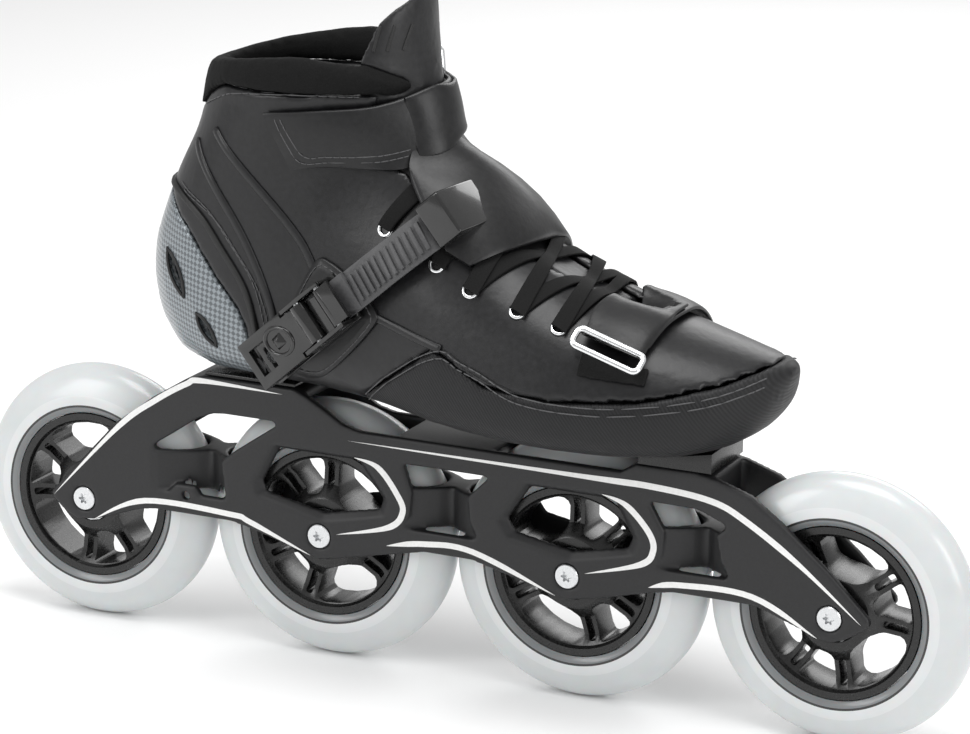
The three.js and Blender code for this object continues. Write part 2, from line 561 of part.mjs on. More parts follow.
function ratchetGroup() {
  const group = new THREE.Group();
  const outer = [-80, 0];
  const patch = layer(0.3, 1.8).intersect(prism(BUCKLE_PATCH, ...outer));
  const clip = layer(LADDER_LIFT - 0.3, 9.6).intersect(prism(slanted([72.3, 86], [-8.6, 8.6]), ...outer));
  const rivet = post([-20, 0], 1.6, 0.3, 1.9).add(post([-20, 0], 3, 1.8, 3));
  group.add(meshOf("buckle_patch", patch, leather));
  group.add(meshOf("buckle_base", onBuckle(buckleBase()), buckleNylon));
  group.add(meshOf("buckle_lever", onBuckle(buckleLever()), buckleNylon));
  group.add(meshOf("buckle_lever_pin", onBuckle(crossPin(LEVER_PIN, PIN_RADIUS, BUCKLE_HALF)), steel));
  group.add(meshOf("buckle_pawl", onBuckle(bucklePawl()), buckleNylon));
  group.add(meshOf("buckle_pawl_pin", onBuckle(crossPin(PAWL_PIN, PIN_RADIUS, BUCKLE_HALF)), steel));
  group.add(meshOf("buckle_rivet", onBuckle(rivet), steel));
  group.add(meshOf("ladder_strap", ladder(), ladderNylon));
  group.add(meshOf("ladder_clip", clip, buckleNylon));
  return group;
}

// ---- straps ----------------------------------------------------------------------------------------
const ANKLE_STRAP = [[98, 236], [110, 213], [156, 219.5], [184, 231], [190, 262], [166, 251], [150, 244]];
const ANKLE_FLAP = [[140, 222], [152, 221], [190, 233], [190, 264], [166, 253.5], [140, 247]];
const INSTEP_PAD = [[165, 217], [192, 228], [226, 199], [205, 190], [188, 184]];
const TOE_STRAP = [[236, 172], [243, 160], [262, 155], [276, 158], [282, 180], [255, 190]];
const TOE_FLAP = [[237, 174], [244, 163], [264, 158], [276, 160], [282, 182], [255, 192]];
const ANKLE_ANCHOR = [[100, 224], [134, 224], [134, 243], [100, 240]];
const TOE_ANCHOR = [[238, 148], [264, 145.5], [264, 151], [238, 157]];
const RING_WIRE = 1.3;
const ANKLE_RING_PLACE = [137, 40, 237];
const TOE_RING_PLACE = [249.5, -42, 158.5];

const between = (y0, y1) => block([60, 320], [y0, y1], [90, 300]);

// A rectangular ring of round wire, in a plane through its own length and height.
function wireRing(place, lengthways, upwards, length, height) {
  const along = new THREE.Vector3(...lengthways).normalize();
  const up = new THREE.Vector3(...upwards);
  up.addScaledVector(along, -up.dot(along)).normalize();
  const out = along.clone().cross(up);
  const matrix = new THREE.Matrix4().makeBasis(along, up, out).setPosition(...place);
  const bar = (x, y, half, turnedBar) => {
    const made = rod(RING_WIRE, -half, half, 8);
    const laid = turnedBar ? made.rotate([0, 0, 90]) : made;
    return laid.translate([x, y, 0]);
  };
  const bars = [
    bar(-length / 2, 0, height / 2 + RING_WIRE, false),
    bar(length / 2, 0, height / 2 + RING_WIRE, false),
    bar(0, -height / 2, length / 2 + RING_WIRE, true),
    bar(0, height / 2, length / 2 + RING_WIRE, true),
  ];
  return join(bars).transform(matrix.elements);
}

function strapGroup() {
  const group = new THREE.Group();
  const piece = (name, low, high, outline, y0, y1, material) =>
    group.add(meshOf(name, layer(low, high).intersect(prism(outline)).intersect(between(y0, y1)), material));
  piece("ankle_strap", 0.4, 3, ANKLE_STRAP, -80, 28, leather);
  piece("ankle_strap_flap", 3.4, 5.8, ANKLE_FLAP, -18, 28, leather);
  piece("instep_pad", 2, 5, INSTEP_PAD, -80, 28, leather);
  piece("toe_strap", 2, 4, TOE_STRAP, -26, 31, leather);
  piece("toe_strap_flap", 4.4, 6.4, TOE_FLAP, -31, 6, leather);
  piece("ankle_ring_anchor", 0.4, 1.9, ANKLE_ANCHOR, 31, 60, webbing);
  piece("toe_ring_anchor", 0.4, 1.9, TOE_ANCHOR, -80, -30, webbing);
  const ankleRing = wireRing(ANKLE_RING_PLACE, [-0.1, 0, 1], [-0.83, 0.56, 0], 32, 8);
  const toeRing = wireRing(TOE_RING_PLACE, [1, 0.12, -0.36], [0, 0.76, 0.65], 28, 8);
  group.add(meshOf("ankle_strap_ring", ankleRing, steel));
  group.add(meshOf("toe_strap_ring", toeRing, steel));
  return group;
}

// ---- assembly --------------------------------------------------------------------------------------
const skate = new THREE.Group();
skate.position.set(-WHEELBASE / 2, WIDTH_OFFSET, 0);
for (let number = 1; number <= WHEEL_COUNT; number += 1) {
  skate.add(wheelGroup(number));
}
skate.add(frameGroup());
const walls = bootWalls();
skate.add(meshOf("heel_cup", walls.cup, carbonCloth));
skate.add(meshOf("rand", walls.rand, randLeather));
skate.add(meshOf("upper", walls.upper, leather));
skate.add(meshOf("collar_pad", collarPad(), padding));
skate.add(meshOf("tongue", tongue(), leather));
skate.add(meshOf("footbed", footbed(), padding));
skate.add(meshOf("laces", laces(), webbing));
skate.add(ratchetGroup());
skate.add(strapGroup());

export default skate;
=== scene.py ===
import math

import bpy
from mathutils import Matrix, Vector
from mathutils.bvhtree import BVHTree
from mathutils.kdtree import KDTree


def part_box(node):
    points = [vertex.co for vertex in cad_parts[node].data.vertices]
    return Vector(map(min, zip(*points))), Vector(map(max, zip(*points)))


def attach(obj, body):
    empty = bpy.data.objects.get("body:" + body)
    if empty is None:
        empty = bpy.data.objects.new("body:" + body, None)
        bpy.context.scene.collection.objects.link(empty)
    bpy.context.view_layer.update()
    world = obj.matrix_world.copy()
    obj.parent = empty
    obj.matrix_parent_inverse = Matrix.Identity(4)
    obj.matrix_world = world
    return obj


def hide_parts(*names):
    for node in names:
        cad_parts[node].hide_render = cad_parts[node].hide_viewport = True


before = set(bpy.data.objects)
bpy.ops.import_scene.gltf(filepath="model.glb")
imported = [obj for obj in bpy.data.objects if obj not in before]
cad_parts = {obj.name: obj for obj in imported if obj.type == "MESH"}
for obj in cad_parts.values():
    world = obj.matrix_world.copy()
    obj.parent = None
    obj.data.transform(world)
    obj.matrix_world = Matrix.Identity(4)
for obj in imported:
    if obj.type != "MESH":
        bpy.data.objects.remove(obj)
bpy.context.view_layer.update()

# ---- the place to look from, the floor and the light --------------------------------------
# The skate stands on a plain pale floor, seen from its outer side and a little above the toe.
# Large soft lights stand over it, beside it and behind it.
MM = 0.001


def placed(name, data):
    """A new object of the scene, at the origin."""
    made = bpy.data.objects.new(name, data)
    bpy.context.scene.collection.objects.link(made)
    return made


camera = placed("camera", bpy.data.cameras.new("camera"))
camera.data.lens = 147.43
camera.data.sensor_width = 36
right = Vector((0.90646, 0.42205, 0.01423))
upwards = Vector((-0.12712, 0.24057, 0.96227))
back = right.cross(upwards)
facing = Matrix((right, upwards, back)).transposed().to_4x4()
camera.matrix_world = Matrix.Translation((0.6567, -1.39884, 0.5680)) @ facing
bpy.context.scene.camera = camera
bpy.context.scene.view_settings.view_transform = "Standard"

bpy.ops.object.select_all(action="DESELECT")
bpy.ops.mesh.primitive_plane_add(size=8, location=(0, 0, -0.0002))
floor = bpy.context.object
floor.name = "floor"
pale = bpy.data.materials.new("pale floor")
pale.use_nodes = True
pale.node_tree.nodes["Principled BSDF"].inputs["Base Color"].default_value = (0.93, 0.93, 0.93, 1)
pale.node_tree.nodes["Principled BSDF"].inputs["Roughness"].default_value = 0.9
floor.data.materials.append(pale)

world = bpy.data.worlds.new("studio")
bpy.context.scene.world = world
world.use_nodes = True
world.node_tree.nodes["Background"].inputs["Color"].default_value = (1, 1, 1, 1)
world.node_tree.nodes["Background"].inputs["Strength"].default_value = 0.6


def softbox(name, place, size, watts):
    lamp = bpy.data.lights.new(name, "AREA")
    lamp.shape = "RECTANGLE"
    lamp.size, lamp.size_y = size
    lamp.energy = watts
    box = placed(name, lamp)
    box.location = place
    box.rotation_euler = (Vector((0, 0, 0.12)) - Vector(place)).to_track_quat("-Z", "Y").to_euler()


softbox("top light", (0.1, -0.2, 1.5), (1.0, 0.7), 13)
softbox("side light", (-1.1, -1.3, 0.9), (0.6, 1.0), 10)
softbox("toe light", (1.5, -0.5, 0.7), (0.5, 0.9), 7)
softbox("back light", (0.0, 1.5, 0.9), (1.2, 0.6), 7)

# ---- tyres -----------------------------------------------------------------------------------
# Each tyre is milky urethane cast round its hub. Its side shows a clear grey lip, a printed black
# line and then the pale running part. The shape is one profile turned about the axle.
rear_low, rear_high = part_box("wheel_1_tyre")
front_low, front_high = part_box("wheel_4_tyre")
rear_axle = (rear_low + rear_high) / 2
PITCH = ((front_low + front_high) / 2 - rear_axle).x / 3 / MM
WHEELS = (1, 2, 3, 4)


def at(x, y, z):
    """A place measured in mm from the rear axle, the wheels' plane and the floor."""
    return Vector((rear_axle.x + x * MM, rear_axle.y + y * MM, z * MM))


def edit(piece):
    bpy.ops.object.select_all(action="DESELECT")
    piece.select_set(True)
    bpy.context.view_layer.objects.active = piece
    bpy.ops.object.mode_set(mode="EDIT")
    bpy.ops.mesh.select_all(action="SELECT")


def turned(name, profile, segments=96):
    """Extrudes a ring along a closed profile of (radius, y) about the rear axle."""
    bpy.ops.object.select_all(action="DESELECT")
    radius, y = profile[0]
    bpy.ops.mesh.primitive_circle_add(vertices=segments, radius=radius * MM, rotation=(math.pi / 2, 0, 0))
    piece = bpy.context.object
    piece.name = name
    piece.location = rear_axle + Vector((0, y * MM, 0))
    bpy.ops.object.transform_apply(location=True, rotation=True, scale=True)
    edit(piece)
    for next_radius, next_y in profile[1:]:
        bpy.ops.mesh.extrude_region_move(TRANSFORM_OT_translate={"value": (0, (next_y - y) * MM, 0)})
        ratio = next_radius / radius
        middle = rear_axle + Vector((0, next_y * MM, 0))
        bpy.ops.transform.resize(value=(ratio, 1, ratio), center_override=middle)
        radius, y = next_radius, next_y
    bpy.ops.mesh.select_all(action="DESELECT")
    bpy.ops.mesh.select_non_manifold()
    bpy.ops.mesh.bridge_edge_loops()
    bpy.ops.mesh.select_all(action="SELECT")
    bpy.ops.mesh.normals_make_consistent(inside=False)
    bpy.ops.object.mode_set(mode="OBJECT")
    bpy.ops.object.shade_smooth_by_angle(angle=math.radians(38))
    return piece


def both_sides(half):
    """A profile's outer half, from the tread in, followed by its mirror image."""
    return half + [(r, -y) for r, y in reversed(half) if y > 0]


def new_material(name, roughness, **constants):
    made = bpy.data.materials.new(name)
    made.use_nodes = True
    shader = made.node_tree.nodes["Principled BSDF"]
    shader.inputs["Roughness"].default_value = roughness
    for socket, value in constants.items():
        shader.inputs[socket.replace("_", " ")].default_value = value
    return made, made.node_tree.nodes, made.node_tree.links, shader


def grain_group():
    """Fine unevenness shared by every finish: a mask for colour and wear, and a bump normal."""
    group = bpy.data.node_groups.new("surface grain", "ShaderNodeTree")
    for label, low in (("Scale", 200.0), ("Detail", 4.0), ("Depth", 0.0001)):
        socket = group.interface.new_socket(label, in_out="INPUT", socket_type="NodeSocketFloat")
        socket.default_value = low
    group.interface.new_socket("Mask", in_out="OUTPUT", socket_type="NodeSocketFloat")
    group.interface.new_socket("Normal", in_out="OUTPUT", socket_type="NodeSocketVector")
    nodes, links = group.nodes, group.links
    given, result = nodes.new("NodeGroupInput"), nodes.new("NodeGroupOutput")
    place = nodes.new("ShaderNodeTexCoord")
    noise = nodes.new("ShaderNodeTexNoise")
    bump = nodes.new("ShaderNodeBump")
    bump.inputs["Strength"].default_value = 0.6
    links.new(place.outputs["Object"], noise.inputs["Vector"])
    links.new(given.outputs["Scale"], noise.inputs["Scale"])
    links.new(given.outputs["Detail"], noise.inputs["Detail"])
    links.new(given.outputs["Depth"], bump.inputs["Distance"])
    links.new(noise.outputs["Fac"], bump.inputs["Height"])
    links.new(noise.outputs["Fac"], result.inputs["Mask"])
    links.new(bump.outputs["Normal"], result.inputs["Normal"])
    return group


GRAIN = grain_group()


def grained(name, dark, light, roughness, scale, depth, rough_swing=0.12, **constants):
    """A finish whose colour, gloss and surface all vary a little with the grain."""
    made, nodes, links, shader = new_material(name, roughness, **constants)
    grain = nodes.new("ShaderNodeGroup")
    grain.node_tree = GRAIN
    grain.inputs["Scale"].default_value = scale
    grain.inputs["Depth"].default_value = depth
    tint = nodes.new("ShaderNodeValToRGB")
    tint.color_ramp.elements[0].position = 0.3
    tint.color_ramp.elements[1].position = 0.7
    tint.color_ramp.elements[0].color = (*dark, 1)
    tint.color_ramp.elements[1].color = (*light, 1)
    gloss = nodes.new("ShaderNodeMapRange")
    gloss.inputs["To Min"].default_value = roughness - rough_swing / 2
    gloss.inputs["To Max"].default_value = roughness + rough_swing / 2
    links.new(grain.outputs["Mask"], tint.inputs["Fac"])
    links.new(grain.outputs["Mask"], gloss.inputs["Value"])
    links.new(tint.outputs["Color"], shader.inputs["Base Color"])
    links.new(gloss.outputs["Result"], shader.inputs["Roughness"])
    links.new(grain.outputs["Normal"], shader.inputs["Normal"])
    return made


def put(piece, material, body, slot, *stands_for):
    """Finishes a piece: its material, the body that carries it and the nodes that it stands for."""
    piece.data.materials.clear()
    piece.data.materials.append(material)
    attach(piece, body)
    if stands_for:
        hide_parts(*stands_for)


def store_radius(piece):
    """Keeps each point's distance from the rear axle, in mm, for the printed rings."""
    kept = piece.data.attributes.new("radius", "FLOAT", "POINT")
    for vertex, value in zip(piece.data.vertices, kept.data):
        value.value = math.hypot(vertex.co.x - rear_axle.x, vertex.co.z - rear_axle.z) / MM


def urethane():
    made, nodes, links, shader = new_material("cast urethane", 0.28, Subsurface_Weight=0.25, Coat_Weight=0.2)
    shader.inputs["Subsurface Scale"].default_value = 0.004
    grain = nodes.new("ShaderNodeGroup")
    grain.node_tree = GRAIN
    grain.inputs["Scale"].default_value = 60
    grain.inputs["Depth"].default_value = 0.00003
    radius = nodes.new("ShaderNodeAttribute")
    radius.attribute_name = "radius"
    span = nodes.new("ShaderNodeMapRange")
    span.inputs["From Min"].default_value = 35
    span.inputs["From Max"].default_value = 55
    rings = nodes.new("ShaderNodeValToRGB")
    rings.color_ramp.interpolation = "CONSTANT"
    rings.color_ramp.elements[0].color = (0.20, 0.21, 0.215, 1)
    rings.color_ramp.elements[1].position = 0.17
    rings.color_ramp.elements[1].color = (0.03, 0.03, 0.03, 1)
    rings.color_ramp.elements.new(0.215).color = (0.68, 0.70, 0.705, 1)
    rings.color_ramp.elements.new(0.42).color = (0.62, 0.645, 0.65, 1)
    cloud = nodes.new("ShaderNodeMix")
    cloud.data_type = "RGBA"
    cloud.blend_type = "MULTIPLY"
    cloud.inputs["Factor"].default_value = 0.14
    links.new(radius.outputs["Fac"], span.inputs["Value"])
    links.new(span.outputs["Result"], rings.inputs["Fac"])
    links.new(rings.outputs["Color"], cloud.inputs[6])
    links.new(grain.outputs["Mask"], cloud.inputs[7])
    links.new(cloud.outputs[2], shader.inputs["Base Color"])
    links.new(grain.outputs["Normal"], shader.inputs["Normal"])
    return made


TYRE_HALF = [
    (55, 0), (54.9, 1.5), (54.5, 3.3), (53.5, 5.4), (51.8, 7.4), (49.4, 9.1), (46.5, 10.4),
    (43.5, 11.4), (42, 11.8), (40, 12), (38.4, 11.9), (37, 11.3), (35.9, 10.4),
]
milky = urethane()
first_tyre = turned("tyre_1", both_sides(TYRE_HALF), 128)
store_radius(first_tyre)


def repeated(first, stem, number):
    """The same piece at another axle, with a mesh of its own."""
    if number == 1:
        return first
    piece = placed(f"{stem}_{number}", first.data.copy())
    piece.data.transform(Matrix.Translation((PITCH * (number - 1) * MM, 0, 0)))
    return piece


for number in WHEELS:
    put(repeated(first_tyre, "tyre", number), milky, f"wheel_{number}", "urethane", f"wheel_{number}_tyre")

# ---- hubs ------------------------------------------------------------------------------------
# Each hub is one moulding of glass-filled nylon: a barrel round the two bearings, three pairs of
# slotted spokes and a deep rim. The openings are cut through a turned disc and their edges eased.
HUB_HALF = [
    (35.4, 0), (35.4, 10.6), (32.6, 10.5), (31.6, 9), (27, 7.2), (20, 7.4), (15.4, 11.4), (14.6, 12),
    (11.2, 12),
]
HUB_TURN = {1: 45, 2: 110, 3: 68, 4: 16}
SPOKE_SPREAD = 22
SPOKE_HALF = 3.3
OPENING = (16.8, 31.2)


def turn_at(outline, k):
    """How sharply an outline turns at one of its points, in degrees."""
    (ax, az), (bx, bz), (cx, cz) = outline[k - 1], outline[k], outline[(k + 1) % len(outline)]
    turn = math.atan2(cz - bz, cx - bx) - math.atan2(bz - az, bx - ax)
    return abs(math.degrees(math.remainder(turn, 2 * math.pi)))


def plate(name, outline, y0, y1, rounding=0.0, segments=4):
    """A side-view outline of (x, z) in mm, its true corners rounded, made as thick as y0 to y1."""
    data = bpy.data.meshes.new(name)
    data.from_pydata([at(x, y0, z) for x, z in outline], [], [range(len(outline))])
    piece = placed(name, data)
    edit(piece)
    if rounding:
        bpy.ops.mesh.select_all(action="DESELECT")
        bpy.ops.object.mode_set(mode="OBJECT")
        for k in range(len(outline)):
            piece.data.vertices[k].select = turn_at(outline, k) > 25
        bpy.ops.object.mode_set(mode="EDIT")
        bpy.ops.mesh.bevel(offset=rounding * MM, segments=segments, affect="VERTICES", clamp_overlap=True)
        bpy.ops.mesh.select_all(action="SELECT")
    bpy.ops.mesh.extrude_region_move(TRANSFORM_OT_translate={"value": (0, (y1 - y0) * MM, 0)})
    bpy.ops.mesh.select_all(action="SELECT")
    bpy.ops.mesh.normals_make_consistent(inside=False)
    bpy.ops.object.mode_set(mode="OBJECT")
    return piece


def finished(piece, modifier):
    bpy.ops.object.select_all(action="DESELECT")
    piece.select_set(True)
    bpy.context.view_layer.objects.active = piece
    bpy.ops.object.modifier_apply(modifier=modifier.name)


def cut_by(piece, tools):
    for tool in tools:
        cutting = piece.modifiers.new("cut", "BOOLEAN")
        cutting.operation = "DIFFERENCE"
        cutting.solver = "EXACT"
        cutting.object = tool
        finished(piece, cutting)
        bpy.data.objects.remove(tool)


def eased_edges(piece, width, segments=3, angle=32):
    edges = piece.modifiers.new("edges", "BEVEL")
    edges.width = width * MM
    edges.segments = segments
    edges.limit_method = "ANGLE"
    edges.angle_limit = math.radians(angle)
    finished(piece, edges)
    bpy.ops.object.shade_smooth_by_angle(angle=math.radians(40))


def polar(radius, degrees):
    turn = math.radians(degrees)
    return radius * math.cos(turn), WHEEL_CENTRE + radius * math.sin(turn)


WHEEL_CENTRE = rear_axle.z / MM


def opening_between(first_spoke, second_spoke, rounding):
    """A through-opening between two spokes, given by their angles."""
    low, high = OPENING
    lean = [math.degrees(math.asin(SPOKE_HALF / r)) for r in (low, high)]
    ends = (first_spoke + lean[1], second_spoke - lean[1])
    rim = [polar(high, ends[0] + (ends[1] - ends[0]) * k / 6) for k in range(7)]
    foot = [polar(low, second_spoke - lean[0]), polar(low, first_spoke + lean[0])]
    return plate("opening", rim + foot, -20, 20, rounding, 3)


def spoke_slot(angle):
    middle = [polar(r, angle) for r in (19.5, 30)]
    across = math.radians(angle + 90)
    side = (1.5 * math.cos(across), 1.5 * math.sin(across))
    ends = ((middle[0], 1), (middle[0], -1), (middle[1], -1), (middle[1], 1))
    corners = [(x + sign * side[0], z + sign * side[1]) for (x, z), sign in ends]
    return plate("slot", corners, -20, 20, 1.0, 3)


nylon = grained("glass-filled nylon", (0.004, 0.004, 0.004), (0.009, 0.009, 0.009), 0.28, 900, 0.00003)
for number in WHEELS:
    hub = turned(f"hub_{number}", both_sides(HUB_HALF), 96)
    turn = HUB_TURN[number]
    tools = []
    for pair in range(3):
        middle = turn + 120 * pair
        tools.append(opening_between(middle + SPOKE_SPREAD, middle + 120 - SPOKE_SPREAD, 4.5))
        tools.append(opening_between(middle - SPOKE_SPREAD, middle + SPOKE_SPREAD, 1.8))
        tools += [spoke_slot(middle - SPOKE_SPREAD), spoke_slot(middle + SPOKE_SPREAD)]
    cut_by(hub, tools)
    hub.data.transform(Matrix.Translation((PITCH * (number - 1) * MM, 0, 0)))
    eased_edges(hub, 0.7, 2)
    put(hub, nylon, f"wheel_{number}", "hub_nylon", f"wheel_{number}_hub")

# ---- bearings, spacers and axles -------------------------------------------------------------
# Steel ball bearings sit in the hub's two seats with a spacer tube between them. The plated axle
# bolt passes through everything; its flush head has a six-lobe drive recess.
bright = grained("plated steel", (0.60, 0.61, 0.62), (0.74, 0.75, 0.76), 0.24, 1500, 0.00001, Metallic=1.0)


def coat(node, material):
    """Gives a solid that shows as it is its finish."""
    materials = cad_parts[node].data.materials
    materials.clear()
    materials.append(material)


for number in WHEELS:
    for part in ("bearing_outside", "bearing_inside", "spacer"):
        coat(f"wheel_{number}_{part}", bright)

HEAD_FACE = -17.6
AXLE = [
    (4, 17), (4, -15.3), (5.1, -15.4), (5.1, HEAD_FACE + 0.3), (4.8, HEAD_FACE), (0.01, HEAD_FACE),
    (0.01, 17),
]
LOBES = 6


def lobed_key():
    points = []
    for k in range(48):
        turn = 2 * math.pi * k / 48
        reach = 1.95 + 0.5 * math.cos(LOBES * turn)
        points.append((reach * math.cos(turn), WHEEL_CENTRE + reach * math.sin(turn)))
    return plate("key", points, HEAD_FACE - 1, HEAD_FACE + 1.7)


first_axle = turned("axle_1", AXLE, 48)
cut_by(first_axle, [lobed_key()])
for number in WHEELS:
    put(repeated(first_axle, "axle", number), bright, "root", "axle_steel", f"wheel_{number}_axle")

# ---- frame casting ---------------------------------------------------------------------------
# The frame is one black powder-coated casting: two side plates, decks, and webs that curve in
# between the tyres. The solid's edges are eased all over, as a casting's are.


def copy_of(node, name):
    """A node's mesh as a new object, its loose triangles joined up."""
    piece = placed(name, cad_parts[node].data.copy())
    piece.data.materials.clear()
    edit(piece)
    bpy.ops.mesh.remove_doubles(threshold=0.000002)
    bpy.ops.object.mode_set(mode="OBJECT")
    return piece


def remeshed(piece, voxel, rounds):
    """Even faces all over, then rounds of smoothing."""
    even = piece.modifiers.new("even", "REMESH")
    even.mode = "VOXEL"
    even.voxel_size = voxel * MM
    finished(piece, even)
    if rounds:
        smoother = piece.modifiers.new("smooth", "SMOOTH")
        smoother.factor = 0.5
        smoother.iterations = rounds
        finished(piece, smoother)
    bpy.ops.object.shade_smooth()
    return piece


def thinned(piece, share):
    fewer = piece.modifiers.new("fewer", "DECIMATE")
    fewer.ratio = share
    finished(piece, fewer)


coated = grained("powder coat", (0.006, 0.006, 0.0065), (0.011, 0.011, 0.012), 0.5, 1100, 0.00006)
casting = remeshed(copy_of("frame", "frame_casting"), 0.9, 3)
thinned(casting, 0.45)
put(casting, coated, "root", "frame_metal", "frame")

# ---- inlay lines -----------------------------------------------------------------------------
# Thin white lines follow the rails and the front of each window, and taper to points. Each is a
# painted strip a tenth of a millimetre thick on the plate's outer face, on both plates.
PLATE_FACE = 17.7
LINES = {
    "rear_arm": ([(-14.4, 55), (17.5, 89.4), (35, 103), (50, 112.2), (58, 114.6), (95, 113.8)], 2.4),
    "low_1": ([(5, 46.8), (30, 58.6), (71, 58.6), (80, 56.6), (108, 46.4)], 2.4),
    "curl_2": ([(128, 91.5), (138.8, 88.8), (147.5, 78.8), (150.3, 71.3), (143.8, 63.8), (120, 57.2)], 2.6),
    "top": (
        [(125, 98.2), (230, 98.2), (260, 98.2), (285, 95.8), (300, 89.4), (322.5, 75), (348.4, 54.6)], 2.6,
    ),
    "low_2": ([(143, 55.9), (160, 59.2), (182, 59.2), (218.6, 46.4)], 2.4),
    "curl_3": ([(238, 92), (248.8, 88.8), (258.8, 78.8), (260.6, 71.3), (255, 65), (231.3, 57.6)], 2.6),
    "low_3": ([(259, 56.2), (272, 59.2), (303, 59.2), (330.4, 46.4)], 2.4),
}


def rounded_route(points, steps=8):
    """A smooth line through points, as a list of closer points."""
    ends = [points[0]] + points + [points[-1]]
    route = []
    for a, b, c, d in zip(ends, ends[1:], ends[2:], ends[3:]):
        for k in range(steps):
            t = k / steps
            route.append(tuple(
                0.5 * (2 * q + (r - p) * t + (2 * p - 5 * q + 4 * r - s) * t * t
                       + (3 * q - p - 3 * r + s) * t ** 3)
                for p, q, r, s in zip(a, b, c, d)))
    return route + [points[-1]]


def tapered_strip(points, width, tension=8):
    """The outline of a line that is widest in its middle and pointed at both ends."""
    route = rounded_route(points, tension)
    left, right_side = [], []
    for k in range(1, len(route) - 1):
        dx, dz = route[k + 1][0] - route[k - 1][0], route[k + 1][1] - route[k - 1][1]
        size = math.hypot(dx, dz)
        share = k / (len(route) - 1)
        half = width / 2 * min(1, share / 0.22, (1 - share) / 0.22)
        left.append((route[k][0] - dz / size * half, route[k][1] + dx / size * half))
        right_side.append((route[k][0] + dz / size * half, route[k][1] - dx / size * half))
    return [route[0]] + left + [route[-1]] + right_side[::-1]


white_paint = grained("white inlay paint", (0.74, 0.74, 0.73), (0.82, 0.82, 0.81), 0.42, 700, 0.00002)
for label, (points, width) in LINES.items():
    for side, where in ((-1, "outside"), (1, "inside")):
        faces = (side * (PLATE_FACE - 0.3), side * (PLATE_FACE + 0.12))
        strip = plate(f"line_{label}_{where}", tapered_strip(points, width), *faces)
        put(strip, white_paint, "root", "frame_metal")

# ---- mounting blocks and bolts ---------------------------------------------------------------
# Two nylon blocks in the sole take the M6 bolts that hold the boot to the frame's decks.
dark_steel = grained(
    "dark plated steel", (0.20, 0.20, 0.21), (0.30, 0.30, 0.31), 0.35, 1200, 0.00001, Metallic=1.0)


def edged_copy(node, name, width, segments=3):
    """A copy of a hard piece with its flat faces whole and its edges eased."""
    piece = copy_of(node, name)
    edit(piece)
    bpy.ops.mesh.dissolve_limited(angle_limit=math.radians(1.5))
    bpy.ops.object.mode_set(mode="OBJECT")
    eased_edges(piece, width, segments)
    return piece


for end in ("rear", "front"):
    block = edged_copy(f"{end}_mount_block", f"{end}_block", 0.6)
    put(block, nylon, "root", "hub_nylon", f"{end}_mount_block")
    for part in ("bolt", "washer"):
        coat(f"{end}_mount_{part}", dark_steel)

# ---- the boot's own curve --------------------------------------------------------------------
# Every piece of the boot was pulled over one last, so all share its smooth curve. The shell's
# pieces are joined into one skin, which is smoothed, and each piece then follows that skin.
SHELL = ("upper", "heel_cup", "rand", "collar_pad", "tongue")
LAST_VOXEL = 1.8
LAST_ROUNDS = 60
last_parts = [copy_of(node, f"last_{node}") for node in SHELL]
bpy.ops.object.select_all(action="DESELECT")
for part in last_parts:
    part.select_set(True)
bpy.context.view_layer.objects.active = last_parts[0]
bpy.ops.object.join()
last = remeshed(bpy.context.object, LAST_VOXEL, 0)
before = [v.co.copy() for v in last.data.vertices]
smoothing = last.modifiers.new("smooth", "SMOOTH")
smoothing.factor = 0.5
smoothing.iterations = LAST_ROUNDS
finished(last, smoothing)
moves = [v.co - old for v, old in zip(last.data.vertices, before)]
near_last = KDTree(len(before))
for index, place in enumerate(before):
    near_last.insert(place, index)
near_last.balance()


def surface_of(piece):
    points = [v.co for v in piece.data.vertices]
    return BVHTree.FromPolygons(points, [p.vertices for p in piece.data.polygons])


last_surface = surface_of(last)
bpy.data.objects.remove(last)


def follow_last(piece):
    """Moves each point as the skin nearest to it moved when it was smoothed."""
    for vertex in piece.data.vertices:
        near = near_last.find_n(vertex.co, 6)
        weights = [1 / (distance + 0.0008) for _, _, distance in near]
        total = sum(weights)
        move = sum((moves[index] * (w / total) for (_, index, _), w in zip(near, weights)), Vector())
        vertex.co += move
    piece.data.update()


def soft_copy(node, name, voxel, rounds, grow=0.0):
    """A remeshed copy on the last's curve, swelled by grow in mm to make up what smoothing takes."""
    piece = copy_of(node, name)
    remeshed(piece, voxel, rounds)
    if grow:
        swell = piece.modifiers.new("swell", "DISPLACE")
        swell.strength = grow * MM
        swell.mid_level = 0
        finished(piece, swell)
    follow_last(piece)
    return piece


def on_side(surface, x, z, side):
    """The outermost place and normal of a surface at (x, z), seen from one side."""
    start = at(x, side * 120, z)
    place, normal, _, _ = surface.ray_cast(start, Vector((0, -side, 0)))
    return place, normal


# ---- heel cup --------------------------------------------------------------------------------
# The heel cup is a hard shell laid up from basket-woven fibre under clear resin. Its squares are
# coloured light grey and dark by turns, a painted sheen for tows that catch the light one way and
# not the other. Two lens-shaped slots on each side let air through, and a black piping covers its
# upper edge.
def store_wrap(piece, middle_x, reach):
    """Lays the cloth round the heel: distance round and height, both in mm."""
    kept = piece.data.attributes.new("wrap", "FLOAT_VECTOR", "POINT")
    for vertex, value in zip(piece.data.vertices, kept.data):
        x, y = vertex.co.x - at(middle_x, 0, 0).x, vertex.co.y - rear_axle.y
        if x < 0:
            around = math.atan2(y, -x) * reach
        else:
            around = math.copysign(math.pi / 2 * reach + x / MM, y)
        value.vector = (around, vertex.co.z / MM, 0)


